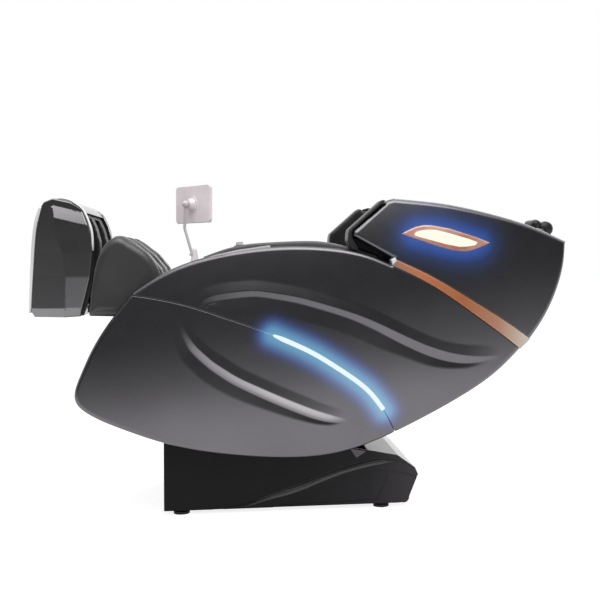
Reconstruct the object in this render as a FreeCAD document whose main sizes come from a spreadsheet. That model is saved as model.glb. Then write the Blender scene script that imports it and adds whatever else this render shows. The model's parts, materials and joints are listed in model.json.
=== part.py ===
import FreeCAD, Part
import math
import os
import re
import Sketcher

os.makedirs("parts", exist_ok=True)
Vector = FreeCAD.Vector
DOC = FreeCAD.newDocument("MassageChair")

# Frame of the whole chair in millimetres.
# X runs from the feet (negative) to the head (positive), Z is up, Y runs across.
# The sitter faces the feet, so the left hand side of the chair is at negative Y.
# The chair is modelled laid back, the way it is shown.
SIZES = {
    # Base
    "base_front": -457, "base_rear": 374, "base_low": 14, "base_top": 285,
    "base_half": 250, "cover_wall": 12, "cover_edge": 4, "seat_gap": 0.3,
    "base_nose_top": 130, "base_nose_low": 44, "base_step_x": 205, "base_step_top": 192,
    "band_deep": 2, "field_deep": 3, "panel_depth": 2, "tab_thick": 4,
    "rail_wide": 36, "rail_high": 40, "rail_wall": 2.5, "rail_low": 20,
    "rail_front": -441, "rail_rear": 305, "cross_rear_x": 250, "tray_thick": 3,
    "supply_long": 150, "supply_wide": 190, "supply_high": 75,
    "upright_gap": 226, "upright_thick": 10, "upright_foot": 125, "upright_head": 28,
    "foot_front_x": -402, "foot_rear_x": 253, "foot_radius": 26, "foot_neck": 8,
    "wheel_x": 328, "wheel_z": 29, "wheel_radius": 18, "wheel_wide": 22, "wheel_out": 236,
    "axle_radius": 4,
    "running_gap": 0.05,
    # Recline pivot and its drive
    "pivot_x": -46, "pivot_z": 370, "pivot_radius": 12.5, "sleeve_wall": 9,
    "recline_angle": 26, "recline_lever": 110, "pin_radius": 6, "eye_wall": 5,
    "recline_play": 2.2, "fork_half": 8, "fork_ear": 8, "lever_thick": 12, "drive_half": 34,
    "lever_half": 11,
    "tube_radius": 24, "rod_radius": 9, "recline_tube_long": 210, "recline_tube_x": -350,
    # Seat and back lines, from the hip line
    "hip_z": 500, "back_tilt": 26, "seat_tilt": 29, "back_long": 905, "seat_long": 400,
    "back_thick": 50, "seat_thick": 75, "cushion_half": 236, "cushion_round": 22,
    "frame_half": 222, "frame_plate": 6, "seat_rail_high": 45,
    "back_rail_high": 130, "back_rail_long": 710, "cross_tube": 12,
    # Leg rest
    "leg_out": 224.5, "knee_x": -420, "knee_z": 640, "knee_radius": 10, "knee_lug": 18,
    "knee_out": 234, "leg_angle": 54, "leg_half": 240, "leg_lever": 60, "leg_play": 4.2,
    "leg_wall": 8, "leg_arm": 7,
    "leg_arm_gap": 2.5, "calf_rim": 22, "calf_trough": 72, "calf_trough_y": 112,
    "leg_tube_long": 190, "leg_tube_start": 105, "leg_ear_half": 26,
    "leg_cross_x": -462, "calf_half_inside": 231.7, "calf_floor": 690,
    "rod_z": 668, "rod_y": 190, "slide_rod": 9, "slide_gap": 0.05, "slide_travel": 100,
    # Foot rest
    "foot_half": 235, "foot_wall": 8, "well_half": 62.5, "well_centre": 92.5,
    "well_sole": -800, "well_heel": 690, "trim_wide": 6, "trim_proud": 1.5,
    "foot_recess": 1.5, "foot_turn": 3.5, "foot_lean": 8, "foot_crease": -757, "foot_bevel": 25,
    "bumper_radius": 13, "bumper_y": 185, "foot_roll_x": -788, "foot_roll_z": 820,
    # Side shells
    "half_width": 370, "inner_wall": 262, "crown_long": 8000, "crown_high": 1600,
    "crown_tilt": 17, "crown_x": 31, "crown_z": 555, "shell_round": 14, "shell_skin": 5,
    "shell_rim": 20, "seam_gap": 2, "void_deep": 322, "void_middle": 340, "void_hood": 306,
    "void_long": 420, "void_high": 180, "arm_arc": 1081, "arm_arc_x": -60, "arm_top": 851,
    "strip_wide": 15, "strip_deep": 8, "trim_deep": 10, "strip_proud": 0.6,
    "lamp_deep": 9, "lamp_proud": 1.6, "rear_inset": 12, "rear_skin": 4,
    # Arm rests
    "pad_front": -318, "pad_rear": 110, "pad_high": 30, "pad_inner": 266, "pad_outer": 344,
    "pad_plinth": 12, "pad_step": 5, "pad_round": 11,
    "liner_thick": 20,
    # Tablet holder and dial
    "holder_x": -354, "holder_y": -281, "holder_foot": 17, "holder_top": 8.5, "holder_high": 26,
    "knuckle_back": 30, "arm_rise": 115, "dial_y": 305, "roll_outer": 330,
    "arm_tube": 4.5, "tablet_wide": 190, "tablet_high": 118, "tablet_thick": 9,
    "tablet_x": -357, "tablet_z": 996, "tablet_turn": 36, "knuckle_radius": 11,
    "dial_x": -203, "dial_radius": 14, "dial_high": 12, "pod_radius": 22, "pod_high": 5,
    # Massage carriage in the back
    "track_y": 165, "track_wide": 16, "track_high": 40, "track_wall": 3, "track_low": 160,
    "track_start": 60, "track_end": 760, "carriage_at": 330, "carriage_long": 190,
    "carriage_plate": 8, "guide_radius": 13, "guide_play": 0.5, "kneader_y": 52,
    "kneader_thick": 12, "kneader_reach": 75, "roller_radius": 26, "roller_wide": 44,
    "kneader_axle": 8, "kneader_z": -94,
}


def make_sheet():
    sheet = DOC.addObject("Spreadsheet::Sheet", "Sizes")
    for row, (name, value) in enumerate(SIZES.items(), start=1):
        sheet.set("A%d" % row, name)
        sheet.set("B%d" % row, str(value))
        sheet.setAlias("B%d" % row, name)
    DOC.recompute()
    return sheet


SHEET = make_sheet()
NODES = []


def size(name):
    return float(SHEET.get(name))


def formula(text):
    def named(match):
        word = match.group(0)
        return "Sizes." + word if word in SIZES else word
    return re.sub(r"[a-z][a-z0-9_]*", named, str(text))


def bind(thing, prop, text):
    thing.setExpression(prop, formula(text))


def place(thing, x, y, z, axis=None, angle=None):
    if axis is not None:
        thing.Placement = FreeCAD.Placement(Vector(), FreeCAD.Rotation(Vector(*axis), 10))
        bind(thing, "Placement.Rotation.Angle", angle)
    bind(thing, "Placement.Base.x", x)
    bind(thing, "Placement.Base.y", y)
    bind(thing, "Placement.Base.z", z)
    return thing


def box(name, x, y, z, length, width, height):
    thing = DOC.addObject("Part::Box", name)
    bind(thing, "Length", length)
    bind(thing, "Width", width)
    bind(thing, "Height", height)
    return place(thing, x, y, z)


def across(name, radius, x, y, z, length):
    # Round bar whose axis runs across the chair, starting at y.
    thing = DOC.addObject("Part::Cylinder", name)
    bind(thing, "Radius", radius)
    bind(thing, "Height", length)
    thing.Placement = FreeCAD.Placement(Vector(), FreeCAD.Rotation(Vector(-1, 0, 0), 90))
    return place(thing, x, y, z)


def along(name, radius, x, y, z, length):
    # Round bar whose axis runs from the feet to the head.
    thing = DOC.addObject("Part::Cylinder", name)
    bind(thing, "Radius", radius)
    bind(thing, "Height", length)
    thing.Placement = FreeCAD.Placement(Vector(), FreeCAD.Rotation(Vector(0, 1, 0), 90))
    return place(thing, x, y, z)


def upright_bar(name, radius, x, y, z, height):
    thing = DOC.addObject("Part::Cylinder", name)
    bind(thing, "Radius", radius)
    bind(thing, "Height", height)
    return place(thing, x, y, z)


def fuse(name, things):
    joined = DOC.addObject("Part::MultiFuse", name)
    joined.Shapes = things
    joined.Refine = True
    return joined


def cut(name, base, tools):
    tool = tools[0] if len(tools) == 1 else fuse(name + "_tools", tools)
    result = DOC.addObject("Part::Cut", name)
    result.Base = base
    result.Tool = tool
    result.Refine = True
    return result


def mirror(name, source):
    twin = DOC.addObject("Part::Mirroring", name)
    twin.Source = source
    twin.Normal = Vector(0, 1, 0)
    twin.Base = Vector(0, 0, 0)
    return twin


def back_frame(thing):
    # Local X runs up the back from the hip line, local Z points out of the back.
    return place(thing, "0", "0", "hip_z", (0, -1, 0), "back_tilt")


def seat_frame(thing):
    # Local X runs from the knees to the hip line, local Z points out of the seat.
    return place(thing, "0", "0", "hip_z", (0, 1, 0), "seat_tilt")


def plate(name, points, start, thick):
    # Side view outline padded across the chair, from start towards negative Y.
    body = DOC.addObject("PartDesign::Body", name)
    sketch = body.newObject("Sketcher::SketchObject", name + "_outline")
    plane = [f for f in body.Origin.OriginFeatures if f.Role == "XZ_Plane"][0]
    sketch.AttachmentSupport = [(plane, "")]
    sketch.MapMode = "FlatFace"
    bind(sketch, "AttachmentOffset.Base.z", start)
    count = len(points)
    corners = []
    for k in range(count):
        turn = -2 * math.pi * k / count
        corners.append(Vector(100 * math.cos(turn), 100 * math.sin(turn), 0))
    for k in range(count):
        sketch.addGeometry(Part.LineSegment(corners[k], corners[(k + 1) % count]), False)
    for k in range(count):
        sketch.addConstraint(Sketcher.Constraint("Coincident", k, 2, (k + 1) % count, 1))
    for k, (x, z) in enumerate(points):
        for kind, start_at, text in (("DistanceX", corners[k].x, x), ("DistanceY", corners[k].y, z)):
            number = sketch.addConstraint(Sketcher.Constraint(kind, -1, 1, k, 1, start_at))
            bind(sketch, "Constraints[%d]" % number, text)
    pad = body.newObject("PartDesign::Pad", name + "_pad")
    pad.Profile = sketch
    bind(pad, "Length", thick)
    return body


def solid_of(name, shape):
    # Free form piece whose shape is worked out below from the named sizes.
    thing = DOC.addObject("Part::Feature", name)
    thing.Shape = shape
    return thing


def node(name, thing):
    thing.Label = name
    NODES.append((name, thing))
    return thing


def curve(points):
    spline = Part.BSplineCurve()
    spline.interpolate(Points=[Vector(x, 0, z) for x, z in points])
    return spline.toShape()


def straight(points):
    corners = [Vector(x, 0, z) for x, z in points]
    return [Part.makeLine(a, b) for a, b in zip(corners, corners[1:])]


def slab(edges, start, end):
    # Closed side view outline extruded across the chair between two Y values.
    face = Part.Face(Part.Wire(Part.__sortEdges__(edges)))
    face.translate(Vector(0, start, 0))
    return face.extrude(Vector(0, end - start, 0))


def polygon(points, start, end):
    return slab(straight(points + points[:1]), start, end)


def round_edges(shape, radius, wanted):
    edges = [edge for edge in shape.Edges if wanted(edge)]
    return shape.makeFillet(radius, edges) if edges else shape


def bevel_edges(shape, step, wanted):
    return shape.makeChamfer(step, [edge for edge in shape.Edges if wanted(edge)])


def middle(edge):
    return edge.valueAt((edge.FirstParameter + edge.LastParameter) / 2)


# Outlines of the side shell in the side view, front tip first

TIP_LINE = [(697, 528), (628, 461), (494, 371), (360, 301), (227, 241), (96, 202), (-60, 192),
            (-221, 205), (-404, 237), (-587, 300), (-667, 337), (-718, 384), (-702, 466),
            (-666, 546), (-606, 640), (-553, 708)]
SEAM_LINE = [(-553, 708), (-460, 697), (-370, 669), (-253, 632), (-119, 580), (-36, 542),
             (43, 500), (107, 453), (176, 394), (230, 338), (279, 262)]
TRIM_LOW = [(265, 803), (398, 737), (527, 651), (625, 582), (697, 528)]
TRIM_HIGH = [(276, 825), (398, 768), (527, 693), (657, 614), (733, 562)]
HOOD_REAR = [(697, 528), (764, 605), (798, 663), (832, 745), (849, 814), (855, 881)]
HOOD_TOP = [(855, 881), (720, 936), (588, 973), (456, 1000), (340, 1013), (278, 1018)]
HOOD_FRONT = [(278, 1018), (258, 1012), (148, 914), (144, 898), (265, 830)]


def arm_height(x):
    return size("arm_top") - size("arm_arc") + math.sqrt(size("arm_arc") ** 2
                                                         - (x - size("arm_arc_x")) ** 2)


def arm_line():
    steps = [-394, -350, -300, -180, -60, 60, 180]
    return [(-553, 708), (-478, 757)] + [(x, arm_height(x)) for x in steps] + [(265, 803)]


def crown(grow=0.0):
    # Doubly curved outer surface of the near side, as a very large ring.
    tilt = math.radians(size("crown_tilt"))
    axis = Vector(-math.sin(tilt), 0, math.cos(tilt))
    long_radius = size("crown_long")
    high_radius = size("crown_high")
    centre = Vector(size("crown_x"), long_radius - size("half_width"), size("crown_z"))
    return Part.makeTorus(long_radius - high_radius, high_radius + grow, centre, axis, -180, 180)


def outer_rim(edge, keep):
    points = [edge.valueAt(edge.FirstParameter + (edge.LastParameter - edge.FirstParameter) * k / 4)
              for k in range(5)]
    return all(p.y < -size("inner_wall") - 20 for p in points) and keep(middle(edge))


def shift_curve(points, step):
    # The same curve moved sideways by a step, to its upper right when positive.
    spline = Part.BSplineCurve()
    spline.interpolate(Points=[Vector(x, 0, z) for x, z in points])
    moved = []
    first = spline.FirstParameter
    last = spline.LastParameter
    for k in range(13):
        where = first + (last - first) * k / 12
        point = spline.value(where)
        run = spline.tangent(where)[0]
        moved.append((point.x - run.z * step, point.z + run.x * step))
    return moved


def rounded(points, radius):
    # Closed outline of straight sides with every corner rounded.
    edges = []
    count = len(points)
    starts = []
    ends = []
    for k in range(count):
        here = Vector(points[k][0], 0, points[k][1])
        before = Vector(points[k - 1][0], 0, points[k - 1][1]) - here
        after = Vector(points[(k + 1) % count][0], 0, points[(k + 1) % count][1]) - here
        half_turn = before.getAngle(after) / 2
        reach = min(radius / math.tan(half_turn), 0.45 * before.Length, 0.45 * after.Length)
        true_radius = reach * math.tan(half_turn)
        starts.append(here + before.normalize() * reach)
        ends.append(here + after.normalize() * reach)
        inward = (before + after).normalize()
        centre = here + inward * (true_radius / math.sin(half_turn))
        edges.append(Part.Arc(starts[k], centre - inward * true_radius, ends[k]).toShape())
    for k in range(count):
        edges.append(Part.makeLine(ends[k], starts[(k + 1) % count]))
    return edges


def skin_layer(region, outside, depth):
    # The part of a region that lies within a depth of the crowned surface.
    return region.common(crown(outside)).cut(crown(-depth))


def shell_void(outline, deep, middle_deep=None):
    # Hollow inside a moulded panel, clear of its rim, deeper where the crown is high.
    inner = WALL - size("shell_skin")
    flat = shrink(outline, size("shell_rim"))
    void = polygon(flat, inner, -size(deep))
    if middle_deep:
        heart = Part.makeBox(2 * size("void_long"), 60, 2 * size("void_high"))
        heart.translate(Vector(-size("void_long"), -size(middle_deep), -size("void_high")))
        heart.rotate(Vector(), Vector(0, -1, 0), size("crown_tilt"))
        heart.translate(Vector(size("crown_x"), 0, size("crown_z")))
        void = void.fuse(heart.common(polygon(flat, inner, -size(middle_deep))))
    return void


LAMP_RIM = [(291, 900), (347, 928), (400, 928), (506, 902), (587, 878), (526, 853), (480, 849),
            (432, 854), (335, 885)]
LAMP_GLASS = [(328, 902), (366, 916), (402, 914), (495, 887), (548, 875), (502, 861), (462, 860),
              (364, 889)]
FAR = -size("half_width") - 10
WALL = -size("inner_wall")
LIGHT_LINE = SEAM_LINE[4:10]


def band(points, half_wide, start=FAR, end=WALL):
    upper = shift_curve(points, half_wide)
    lower = shift_curve(points, -half_wide)
    edges = [curve(upper), curve(lower)] + straight([upper[0], lower[0]])
    return slab(edges + straight([upper[-1], lower[-1]]), start, end)


def below_seam(step):
    line = shift_curve([(-590, 706)] + SEAM_LINE + [(296, 228)], step)
    outside = [line[-1], (line[-1][0], 100), (-900, 100), (-900, line[0][1]), line[0]]
    return slab([curve(line)] + straight(outside), FAR - 10, WALL + 10)


def lower_blank():
    blank = slab([curve(TIP_LINE), curve(arm_line()), curve(TRIM_LOW)], FAR, WALL).common(crown())
    rim = size("shell_round")
    return round_edges(blank, rim, lambda e: outer_rim(e, lambda p: p.x < 420 or p.z < 500))


def swoosh_cut(points, radius, depth):
    # Long shallow flute pressed into the crowned surface, fading at both ends.
    tilt = math.radians(size("crown_tilt"))
    run = Vector(math.cos(tilt), 0, math.sin(tilt))
    rise = Vector(-math.sin(tilt), 0, math.cos(tilt))
    heart = Vector(size("crown_x"), 0, size("crown_z"))
    path = []
    last = len(points) - 1
    for k, (x, z) in enumerate(points):
        offset = Vector(x, 0, z) - heart
        drop = (offset.dot(run)) ** 2 / (2 * size("crown_long"))
        drop += (offset.dot(rise)) ** 2 / (2 * size("crown_high"))
        sunk = depth * math.sin(math.pi * k / last) - 2.0
        path.append(Vector(x, -size("half_width") + drop - radius + sunk, z))
    spline = Part.BSplineCurve()
    spline.interpolate(Points=path)
    rail = Part.Wire([spline.toShape()])
    start = spline.tangent(spline.FirstParameter)[0]
    section = Part.Wire([Part.makeCircle(radius, path[0], start)])
    return rail.makePipeShell([section], True, False)


SWOOSH_UPPER = [(-320, 702), (-224, 724), (-119, 727), (-13, 709), (95, 676), (240, 617), (371, 556),
                (470, 516), (590, 488)]
SWOOSH_LOWER = [(-392, 622), (-335, 541), (-246, 461), (-121, 397), (7, 342), (105, 305)]


def side_panels():
    blank = lower_blank()
    for points, radius, depth in ((SWOOSH_UPPER, 46, 9), (SWOOSH_LOWER, 52, 12)):
        blank = blank.cut(swoosh_cut(points, radius, depth))
    gap = size("seam_gap") / 2
    front = blank.common(below_seam(-gap))
    side = blank.cut(below_seam(gap))
    slot = skin_layer(band(LIGHT_LINE, size("strip_wide") / 2), 20, size("strip_deep"))
    front_outline = SEAM_LINE + TIP_LINE[4:15]
    side_outline = arm_line()[1:] + TRIM_LOW[1:] + TIP_LINE[1:4] + SEAM_LINE[:0:-1]
    front = front.cut(slot).cut(shell_void(front_outline, "void_deep", "void_middle"))
    side = side.cut(slot).cut(shell_void(side_outline, "void_deep", "void_middle"))
    node("front_shell_left", solid_of("front_panel", front))
    node("side_shell_left", solid_of("side_panel", side))
    gap = size("seat_gap")
    strip = band(LIGHT_LINE, size("strip_wide") / 2 - gap)
    strip = skin_layer(strip, size("strip_proud"), size("strip_deep") - gap)
    node("light_strip_left", solid_of("light_bar", strip))


def hood_panel():
    outline = [curve(TRIM_LOW), curve(HOOD_REAR), curve(HOOD_TOP)]
    outline += straight(HOOD_FRONT + [(265, 803)])
    blank = slab(outline, FAR, WALL).common(crown())
    blank = round_edges(blank, size("shell_round"), lambda e: outer_rim(
        e, lambda p: p.z > 640 and not (p.x < 640 and p.z < 812)))
    lamp = slab(rounded(LAMP_RIM, 10), FAR, WALL)
    seat = skin_layer(lamp, 20, size("lamp_deep"))
    inner = TRIM_HIGH[1:] + HOOD_REAR[1:] + HOOD_TOP[1:5] + [HOOD_FRONT[1], HOOD_FRONT[2]]
    void = shell_void(inner + HOOD_FRONT[-1:], "void_hood")
    hood = blank.cut(void)
    gap = size("seat_gap")
    rebate = slab([curve(TRIM_LOW), curve(TRIM_HIGH)]
                  + straight([TRIM_LOW[0], TRIM_HIGH[0]])
                  + straight([TRIM_LOW[-1], TRIM_HIGH[-1]]), FAR, WALL)
    hood = hood.cut(skin_layer(rebate, 20, size("trim_deep"))).cut(seat)
    node("hood_shell_left", solid_of("hood_panel", hood))
    low = shift_curve(TRIM_LOW, gap)
    high = shift_curve(TRIM_HIGH, -gap)
    strip = slab([curve(low), curve(high)] + straight([low[0], high[0]])
                 + straight([low[-1], high[-1]]), FAR, WALL)
    strip = skin_layer(strip, size("strip_proud"), size("trim_deep") - gap)
    node("copper_trim_left", solid_of("trim_band", strip))
    rim = skin_layer(slab(rounded(shrink(LAMP_RIM, gap), 10), FAR, WALL),
                     size("lamp_proud"), size("lamp_deep") - gap)
    opening = slab(rounded(LAMP_GLASS, 6), FAR, WALL)
    node("lamp_bezel_left", solid_of("lamp_rim", rim.cut(opening)))
    glass = skin_layer(slab(rounded(shrink(LAMP_GLASS, gap), 6), FAR, WALL), 0.4,
                       size("lamp_deep") - gap)
    node("lamp_lens_left", solid_of("lamp_glass", glass))


def shrink(points, step):
    # Moves each corner of a closed outline inward by a step along both sides.
    count = len(points)
    area = sum(points[k - 1][0] * points[k][1] - points[k][0] * points[k - 1][1]
               for k in range(count))
    sign = 1 if area > 0 else -1
    moved = []
    for k in range(count):
        a = Vector(points[k - 1][0], 0, points[k - 1][1])
        b = Vector(points[k][0], 0, points[k][1])
        c = Vector(points[(k + 1) % count][0], 0, points[(k + 1) % count][1])
        one = (b - a).normalize()
        two = (c - b).normalize()
        side_one = Vector(-one.z, 0, one.x) * sign
        side_two = Vector(-two.z, 0, two.x) * sign
        bend = (side_one + side_two).normalize()
        new = b + bend * (step / bend.dot(side_one))
        moved.append((new.x, new.z))
    return moved


# Base

COVER_IN = "(base_half - cover_wall)"
RAIL_OUT = "(base_half - cover_wall - seat_gap)"
RAIL_IN = "(base_half - cover_wall - seat_gap - rail_wide)"
RAIL_TOP = "(rail_low + rail_high)"
DRIVE_Z = "(pivot_z - recline_lever * (1 + cos(recline_angle / 2)) / 2)"
DRIVE_EYE = "(pivot_x - recline_lever * sin(recline_angle / 2))"
NOSE = [("base_step_x", "base_step_top"), ("base_rear - 68", "base_step_top - 20"),
        ("base_rear - 10", "base_step_top - 62"), ("base_rear", "base_step_top - 84"),
        ("base_rear - 26", "base_nose_low")]


# Upper and lower edge of the raised band along the base, front end first
BAND_HIGH = [(-300, 4), (-256, 17), (-170, 35), (-83, 61), (5, 93), (93, 126), (170, 147), (241, 156),
             (310, 150), (400, 122)]
BAND_LOW = [(-130, 4), (-106, 15), (-25, 44), (81, 84), (164, 112), (250, 124), (330, 114), (400, 88)]


def base_cover():
    outline = [("base_front", "base_low"), ("base_front", "base_top"),
               ("base_step_x - 145", "base_top"), ("base_step_x - 75", "base_step_top + 13")]
    outline += NOSE + [("wheel_x + 8", "base_low + 2"), ("wheel_x - 22", "base_low")]
    side = plate("base_side", outline, COVER_IN, "cover_wall")
    DOC.recompute()
    pad = side.Tip
    names = []
    for k, edge in enumerate(pad.Shape.Edges, start=1):
        where = middle(edge)
        outside = abs(where.y + size("base_half")) < 0.01
        nose = where.x > size("base_step_x") + 1 and where.z > size("base_nose_low") + 1
        if outside and (nose or where.x < size("base_front") + 1):
            names.append("Edge%d" % k)
    soft = side.newObject("PartDesign::Fillet", "base_side_round")
    soft.Base = (pad, names)
    bind(soft, "Radius", "cover_edge")
    side.Tip = soft
    # A long raised band sweeps up the side between two fields that are set back.
    face = -size("base_half")
    top = [BAND_HIGH[-1], (480, 140), (480, 330), (-300, 330), BAND_HIGH[0]]
    low = [BAND_LOW[-1], (480, 90), (480, -40), (-130, -40), BAND_LOW[0]]
    above = solid_of("base_upper_field", slab([curve(BAND_HIGH)] + straight(top), face - 5,
                                              face + size("band_deep")))
    below = solid_of("base_lower_field", slab([curve(BAND_LOW)] + straight(low), face - 5,
                                              face + size("field_deep")))
    panel = plate("base_panel", [("base_step_x - 296", "base_low + 6"),
                                 ("base_step_x - 122", "base_low + 60"),
                                 ("base_step_x + 6", "base_low + 89"),
                                 ("base_rear - 100", "base_low + 91"),
                                 ("base_rear - 138", "base_low + 12")],
                  "base_half - field_deep - panel_depth", "panel_depth + 1")
    left = cut("base_cover_near", side, [above, below, panel])
    node("base_cover_left", left)
    node("base_cover_right", mirror("base_cover_far", left))


def base_tabs():
    # Small steel tab that covers the end of the shell's pivot gap, one on each side.
    outline = [("base_step_x - 60", "base_step_top + 8"), ("base_step_x - 39", "base_step_top - 23"),
               ("base_step_x - 6", "base_step_top - 2")]
    near = plate("tab_near", outline, "base_half - band_deep", "tab_thick")
    far = plate("tab_far", outline, "-base_half + band_deep - tab_thick", "tab_thick")
    node("base_tabs", fuse("tabs", [near, far]))


def base_ends():
    inner = "2 * (base_half - cover_wall - seat_gap)"
    front = box("base_nose", "base_front", "-" + RAIL_OUT, "base_low", "cover_wall", inner,
                "base_top - base_low")
    node("base_front_cover", front)
    inside = [("base_rear - 31", "base_nose_low + 12"), ("base_rear - 12", "base_step_top - 82"),
              ("base_rear - 18", "base_step_top - 68"), ("base_rear - 74", "base_step_top - 29"),
              ("base_step_x", "base_step_top - 10")]
    low = [("base_rear - 21", "base_nose_low + 12")]
    node("base_rear_cover", plate("base_tail", NOSE[:-1] + low + inside, "-" + RAIL_OUT, inner))


def base_frame():
    parts = []
    hollows = []
    for tag, start in (("near", "-" + RAIL_OUT), ("far", RAIL_IN)):
        parts.append(box("rail_" + tag, "rail_front", start, "rail_low",
                         "rail_rear - rail_front", "rail_wide", "rail_high"))
        hollows.append(box("rail_bore_" + tag, "rail_front - 1", start + " + rail_wall",
                           "rail_low + rail_wall", "rail_rear - rail_front + 2",
                           "rail_wide - 2 * rail_wall", "rail_high - 2 * rail_wall"))
    for tag, where in (("front", "rail_front"), ("rear", "cross_rear_x")):
        parts.append(box("cross_" + tag, where, "-" + RAIL_IN + " - 1", "rail_low", "rail_wide",
                         "2 * " + RAIL_IN + " + 2", "rail_high"))
        hollows.append(box("cross_bore_" + tag, where + " + rail_wall", "-" + RAIL_IN + " + 6",
                           "rail_low + rail_wall", "rail_wide - 2 * rail_wall",
                           "2 * " + RAIL_IN + " - 12", "rail_high - 2 * rail_wall"))
    foot = [("pivot_x - upright_foot", RAIL_TOP + " - 1"),
            ("pivot_x - upright_head", "pivot_z"), ("pivot_x + upright_head", "pivot_z"),
            ("pivot_x + upright_foot", RAIL_TOP + " - 1")]
    for tag, start, side in (("near", "upright_gap", "-upright_gap - upright_thick"),
                             ("far", "-upright_gap - upright_thick", "upright_gap")):
        parts.append(plate("upright_" + tag, foot, start, "upright_thick"))
        parts.append(across("upright_eye_" + tag, "upright_head", "pivot_x", side, "pivot_z",
                            "upright_thick"))
    ears = [("rail_front + 2", RAIL_TOP + " - 1"), ("recline_tube_x - 50", DRIVE_Z + " + 12"),
            ("recline_tube_x - 20", DRIVE_Z + " + 12"),
            ("rail_front + rail_wide + 50", RAIL_TOP + " - 1")]
    for tag, start in (("near", "drive_half"), ("far", "-drive_half - 6")):
        parts.append(plate("drive_ear_" + tag, ears, start, "6"))
    parts.append(box("drive_foot", "rail_front", "-drive_half - 6", RAIL_TOP + " - 3",
                     "rail_wide + 50", "2 * drive_half + 12", "3"))
    parts.append(box("supply_tray", "cross_rear_x - supply_long - 20", "-" + RAIL_IN + " - 1",
                     RAIL_TOP + " - tray_thick", "supply_long + 30", "2 * " + RAIL_IN + " + 2",
                     "tray_thick"))
    for tag, start, pin in (("near", "-" + RAIL_IN + " - 8", "-wheel_out - 1"),
                            ("far", RAIL_IN + " + 2", RAIL_IN + " + 2")):
        parts.append(box("wheel_arm_" + tag, "rail_rear - 20", start, "wheel_z - 9",
                         "wheel_x - rail_rear + 28", "6", "18"))
        parts.append(across("wheel_pin_" + tag, "axle_radius", "wheel_x", pin, "wheel_z",
                            "wheel_out + 1 - " + RAIL_IN + " - 2"))
    hollows.append(across("pivot_bore", "pivot_radius + running_gap", "pivot_x",
                          "-base_half", "pivot_z", "2 * base_half"))
    node("base_frame", cut("base_structure", fuse("base_weld", parts), hollows))
    node("pivot_shaft", across("pivot_bar", "pivot_radius", "pivot_x",
                               "-upright_gap - upright_thick - 1", "pivot_z",
                               "2 * (upright_gap + upright_thick + 1)"))


def base_feet():
    feet = []
    centre = "(" + RAIL_OUT + " - rail_wide / 2)"
    for tag, x in (("front", "foot_front_x"), ("rear", "foot_rear_x")):
        for side, y in (("near", "-" + centre), ("far", centre)):
            feet.append(upright_bar("foot_%s_%s" % (tag, side), "foot_radius", x, y, "0",
                                    "foot_neck"))
            feet.append(upright_bar("foot_stem_%s_%s" % (tag, side), "foot_radius - 9", x, y, "0",
                                    "rail_low"))
    node("rubber_feet", fuse("feet", feet))


def transport_wheels():
    tyre = across("wheel_disc", "wheel_radius", "wheel_x", "-wheel_out", "wheel_z", "wheel_wide")
    bore = across("wheel_hole", "axle_radius + running_gap", "wheel_x", "-wheel_out - 1",
                  "wheel_z", "wheel_wide + 2")
    left = cut("wheel_near", tyre, [bore])
    node("transport_wheel_left", left)
    node("transport_wheel_right", mirror("wheel_far", left))


def power_supply():
    case = box("supply_case", "cross_rear_x - supply_long - 5", "-supply_wide / 2",
               RAIL_TOP + " + seat_gap", "supply_long", "supply_wide", "supply_high")
    slots = []
    for k in range(5):
        slots.append(box("supply_slot_%d" % k, "cross_rear_x - supply_long + %d" % (10 + 24 * k),
                         "-supply_wide / 2 - 1", RAIL_TOP + " + 20", "10", "4", "supply_high - 40"))
    node("power_supply", cut("supply", case, slots))


def recline_drive():
    parts = [along("recline_barrel", "tube_radius", "recline_tube_x", "0", DRIVE_Z,
                   "recline_tube_long"),
             box("recline_gearbox", "recline_tube_x - 56", "-drive_half + 0.3", DRIVE_Z + " - 28",
                 "60", "2 * drive_half - 0.6", "54"),
             along("recline_motor", "20", "recline_tube_x - 54", "0", DRIVE_Z + " - 46", "130")]
    bore = along("recline_bore", "rod_radius + running_gap", "recline_tube_x + 8", "0", DRIVE_Z,
                 "recline_tube_long")
    node("recline_tube", cut("recline_housing", fuse("recline_body", parts), [bore]))
    eye = "pin_radius + recline_play"
    parts = [along("recline_bar", "rod_radius", "recline_tube_x + 20", "0", DRIVE_Z,
                   DRIVE_EYE + " - 30 - recline_tube_x - 20"),
             box("recline_fork_back", DRIVE_EYE + " - 38", "-fork_half - fork_ear",
                 DRIVE_Z + " - 10", "18", "2 * (fork_half + fork_ear)", "20")]
    for tag, y in (("near", "-fork_half - fork_ear"), ("far", "fork_half")):
        parts.append(box("recline_ear_" + tag, DRIVE_EYE + " - 22", y, DRIVE_Z + " - 10", "22",
                         "fork_ear", "20"))
        parts.append(across("recline_eye_" + tag, eye + " + eye_wall", DRIVE_EYE, y, DRIVE_Z,
                            "fork_ear"))
    hole = across("recline_eye_hole", eye, DRIVE_EYE, "-40", DRIVE_Z, "80")
    node("recline_rod", cut("recline_fork", fuse("recline_rod_body", parts), [hole]))


# Knee pivot and leg drive line, measured along and out of the seat
KNEE_ALONG = "(knee_x * cos(seat_tilt) - (knee_z - hip_z) * sin(seat_tilt))"
KNEE_OUT = "(knee_x * sin(seat_tilt) + (knee_z - hip_z) * cos(seat_tilt))"
LEG_LINE = "(" + KNEE_OUT + " - leg_lever * (1 + cos(leg_angle / 2)) / 2)"
LEG_EYE = "(" + KNEE_ALONG + " - leg_lever * sin(leg_angle / 2))"
LEG_BACK = "(" + LEG_EYE + " + leg_tube_start + leg_tube_long + 16)"
LEVER_TURN = "(270 - seat_tilt - leg_angle / 2)"


# Frame of the seat and back

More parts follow.
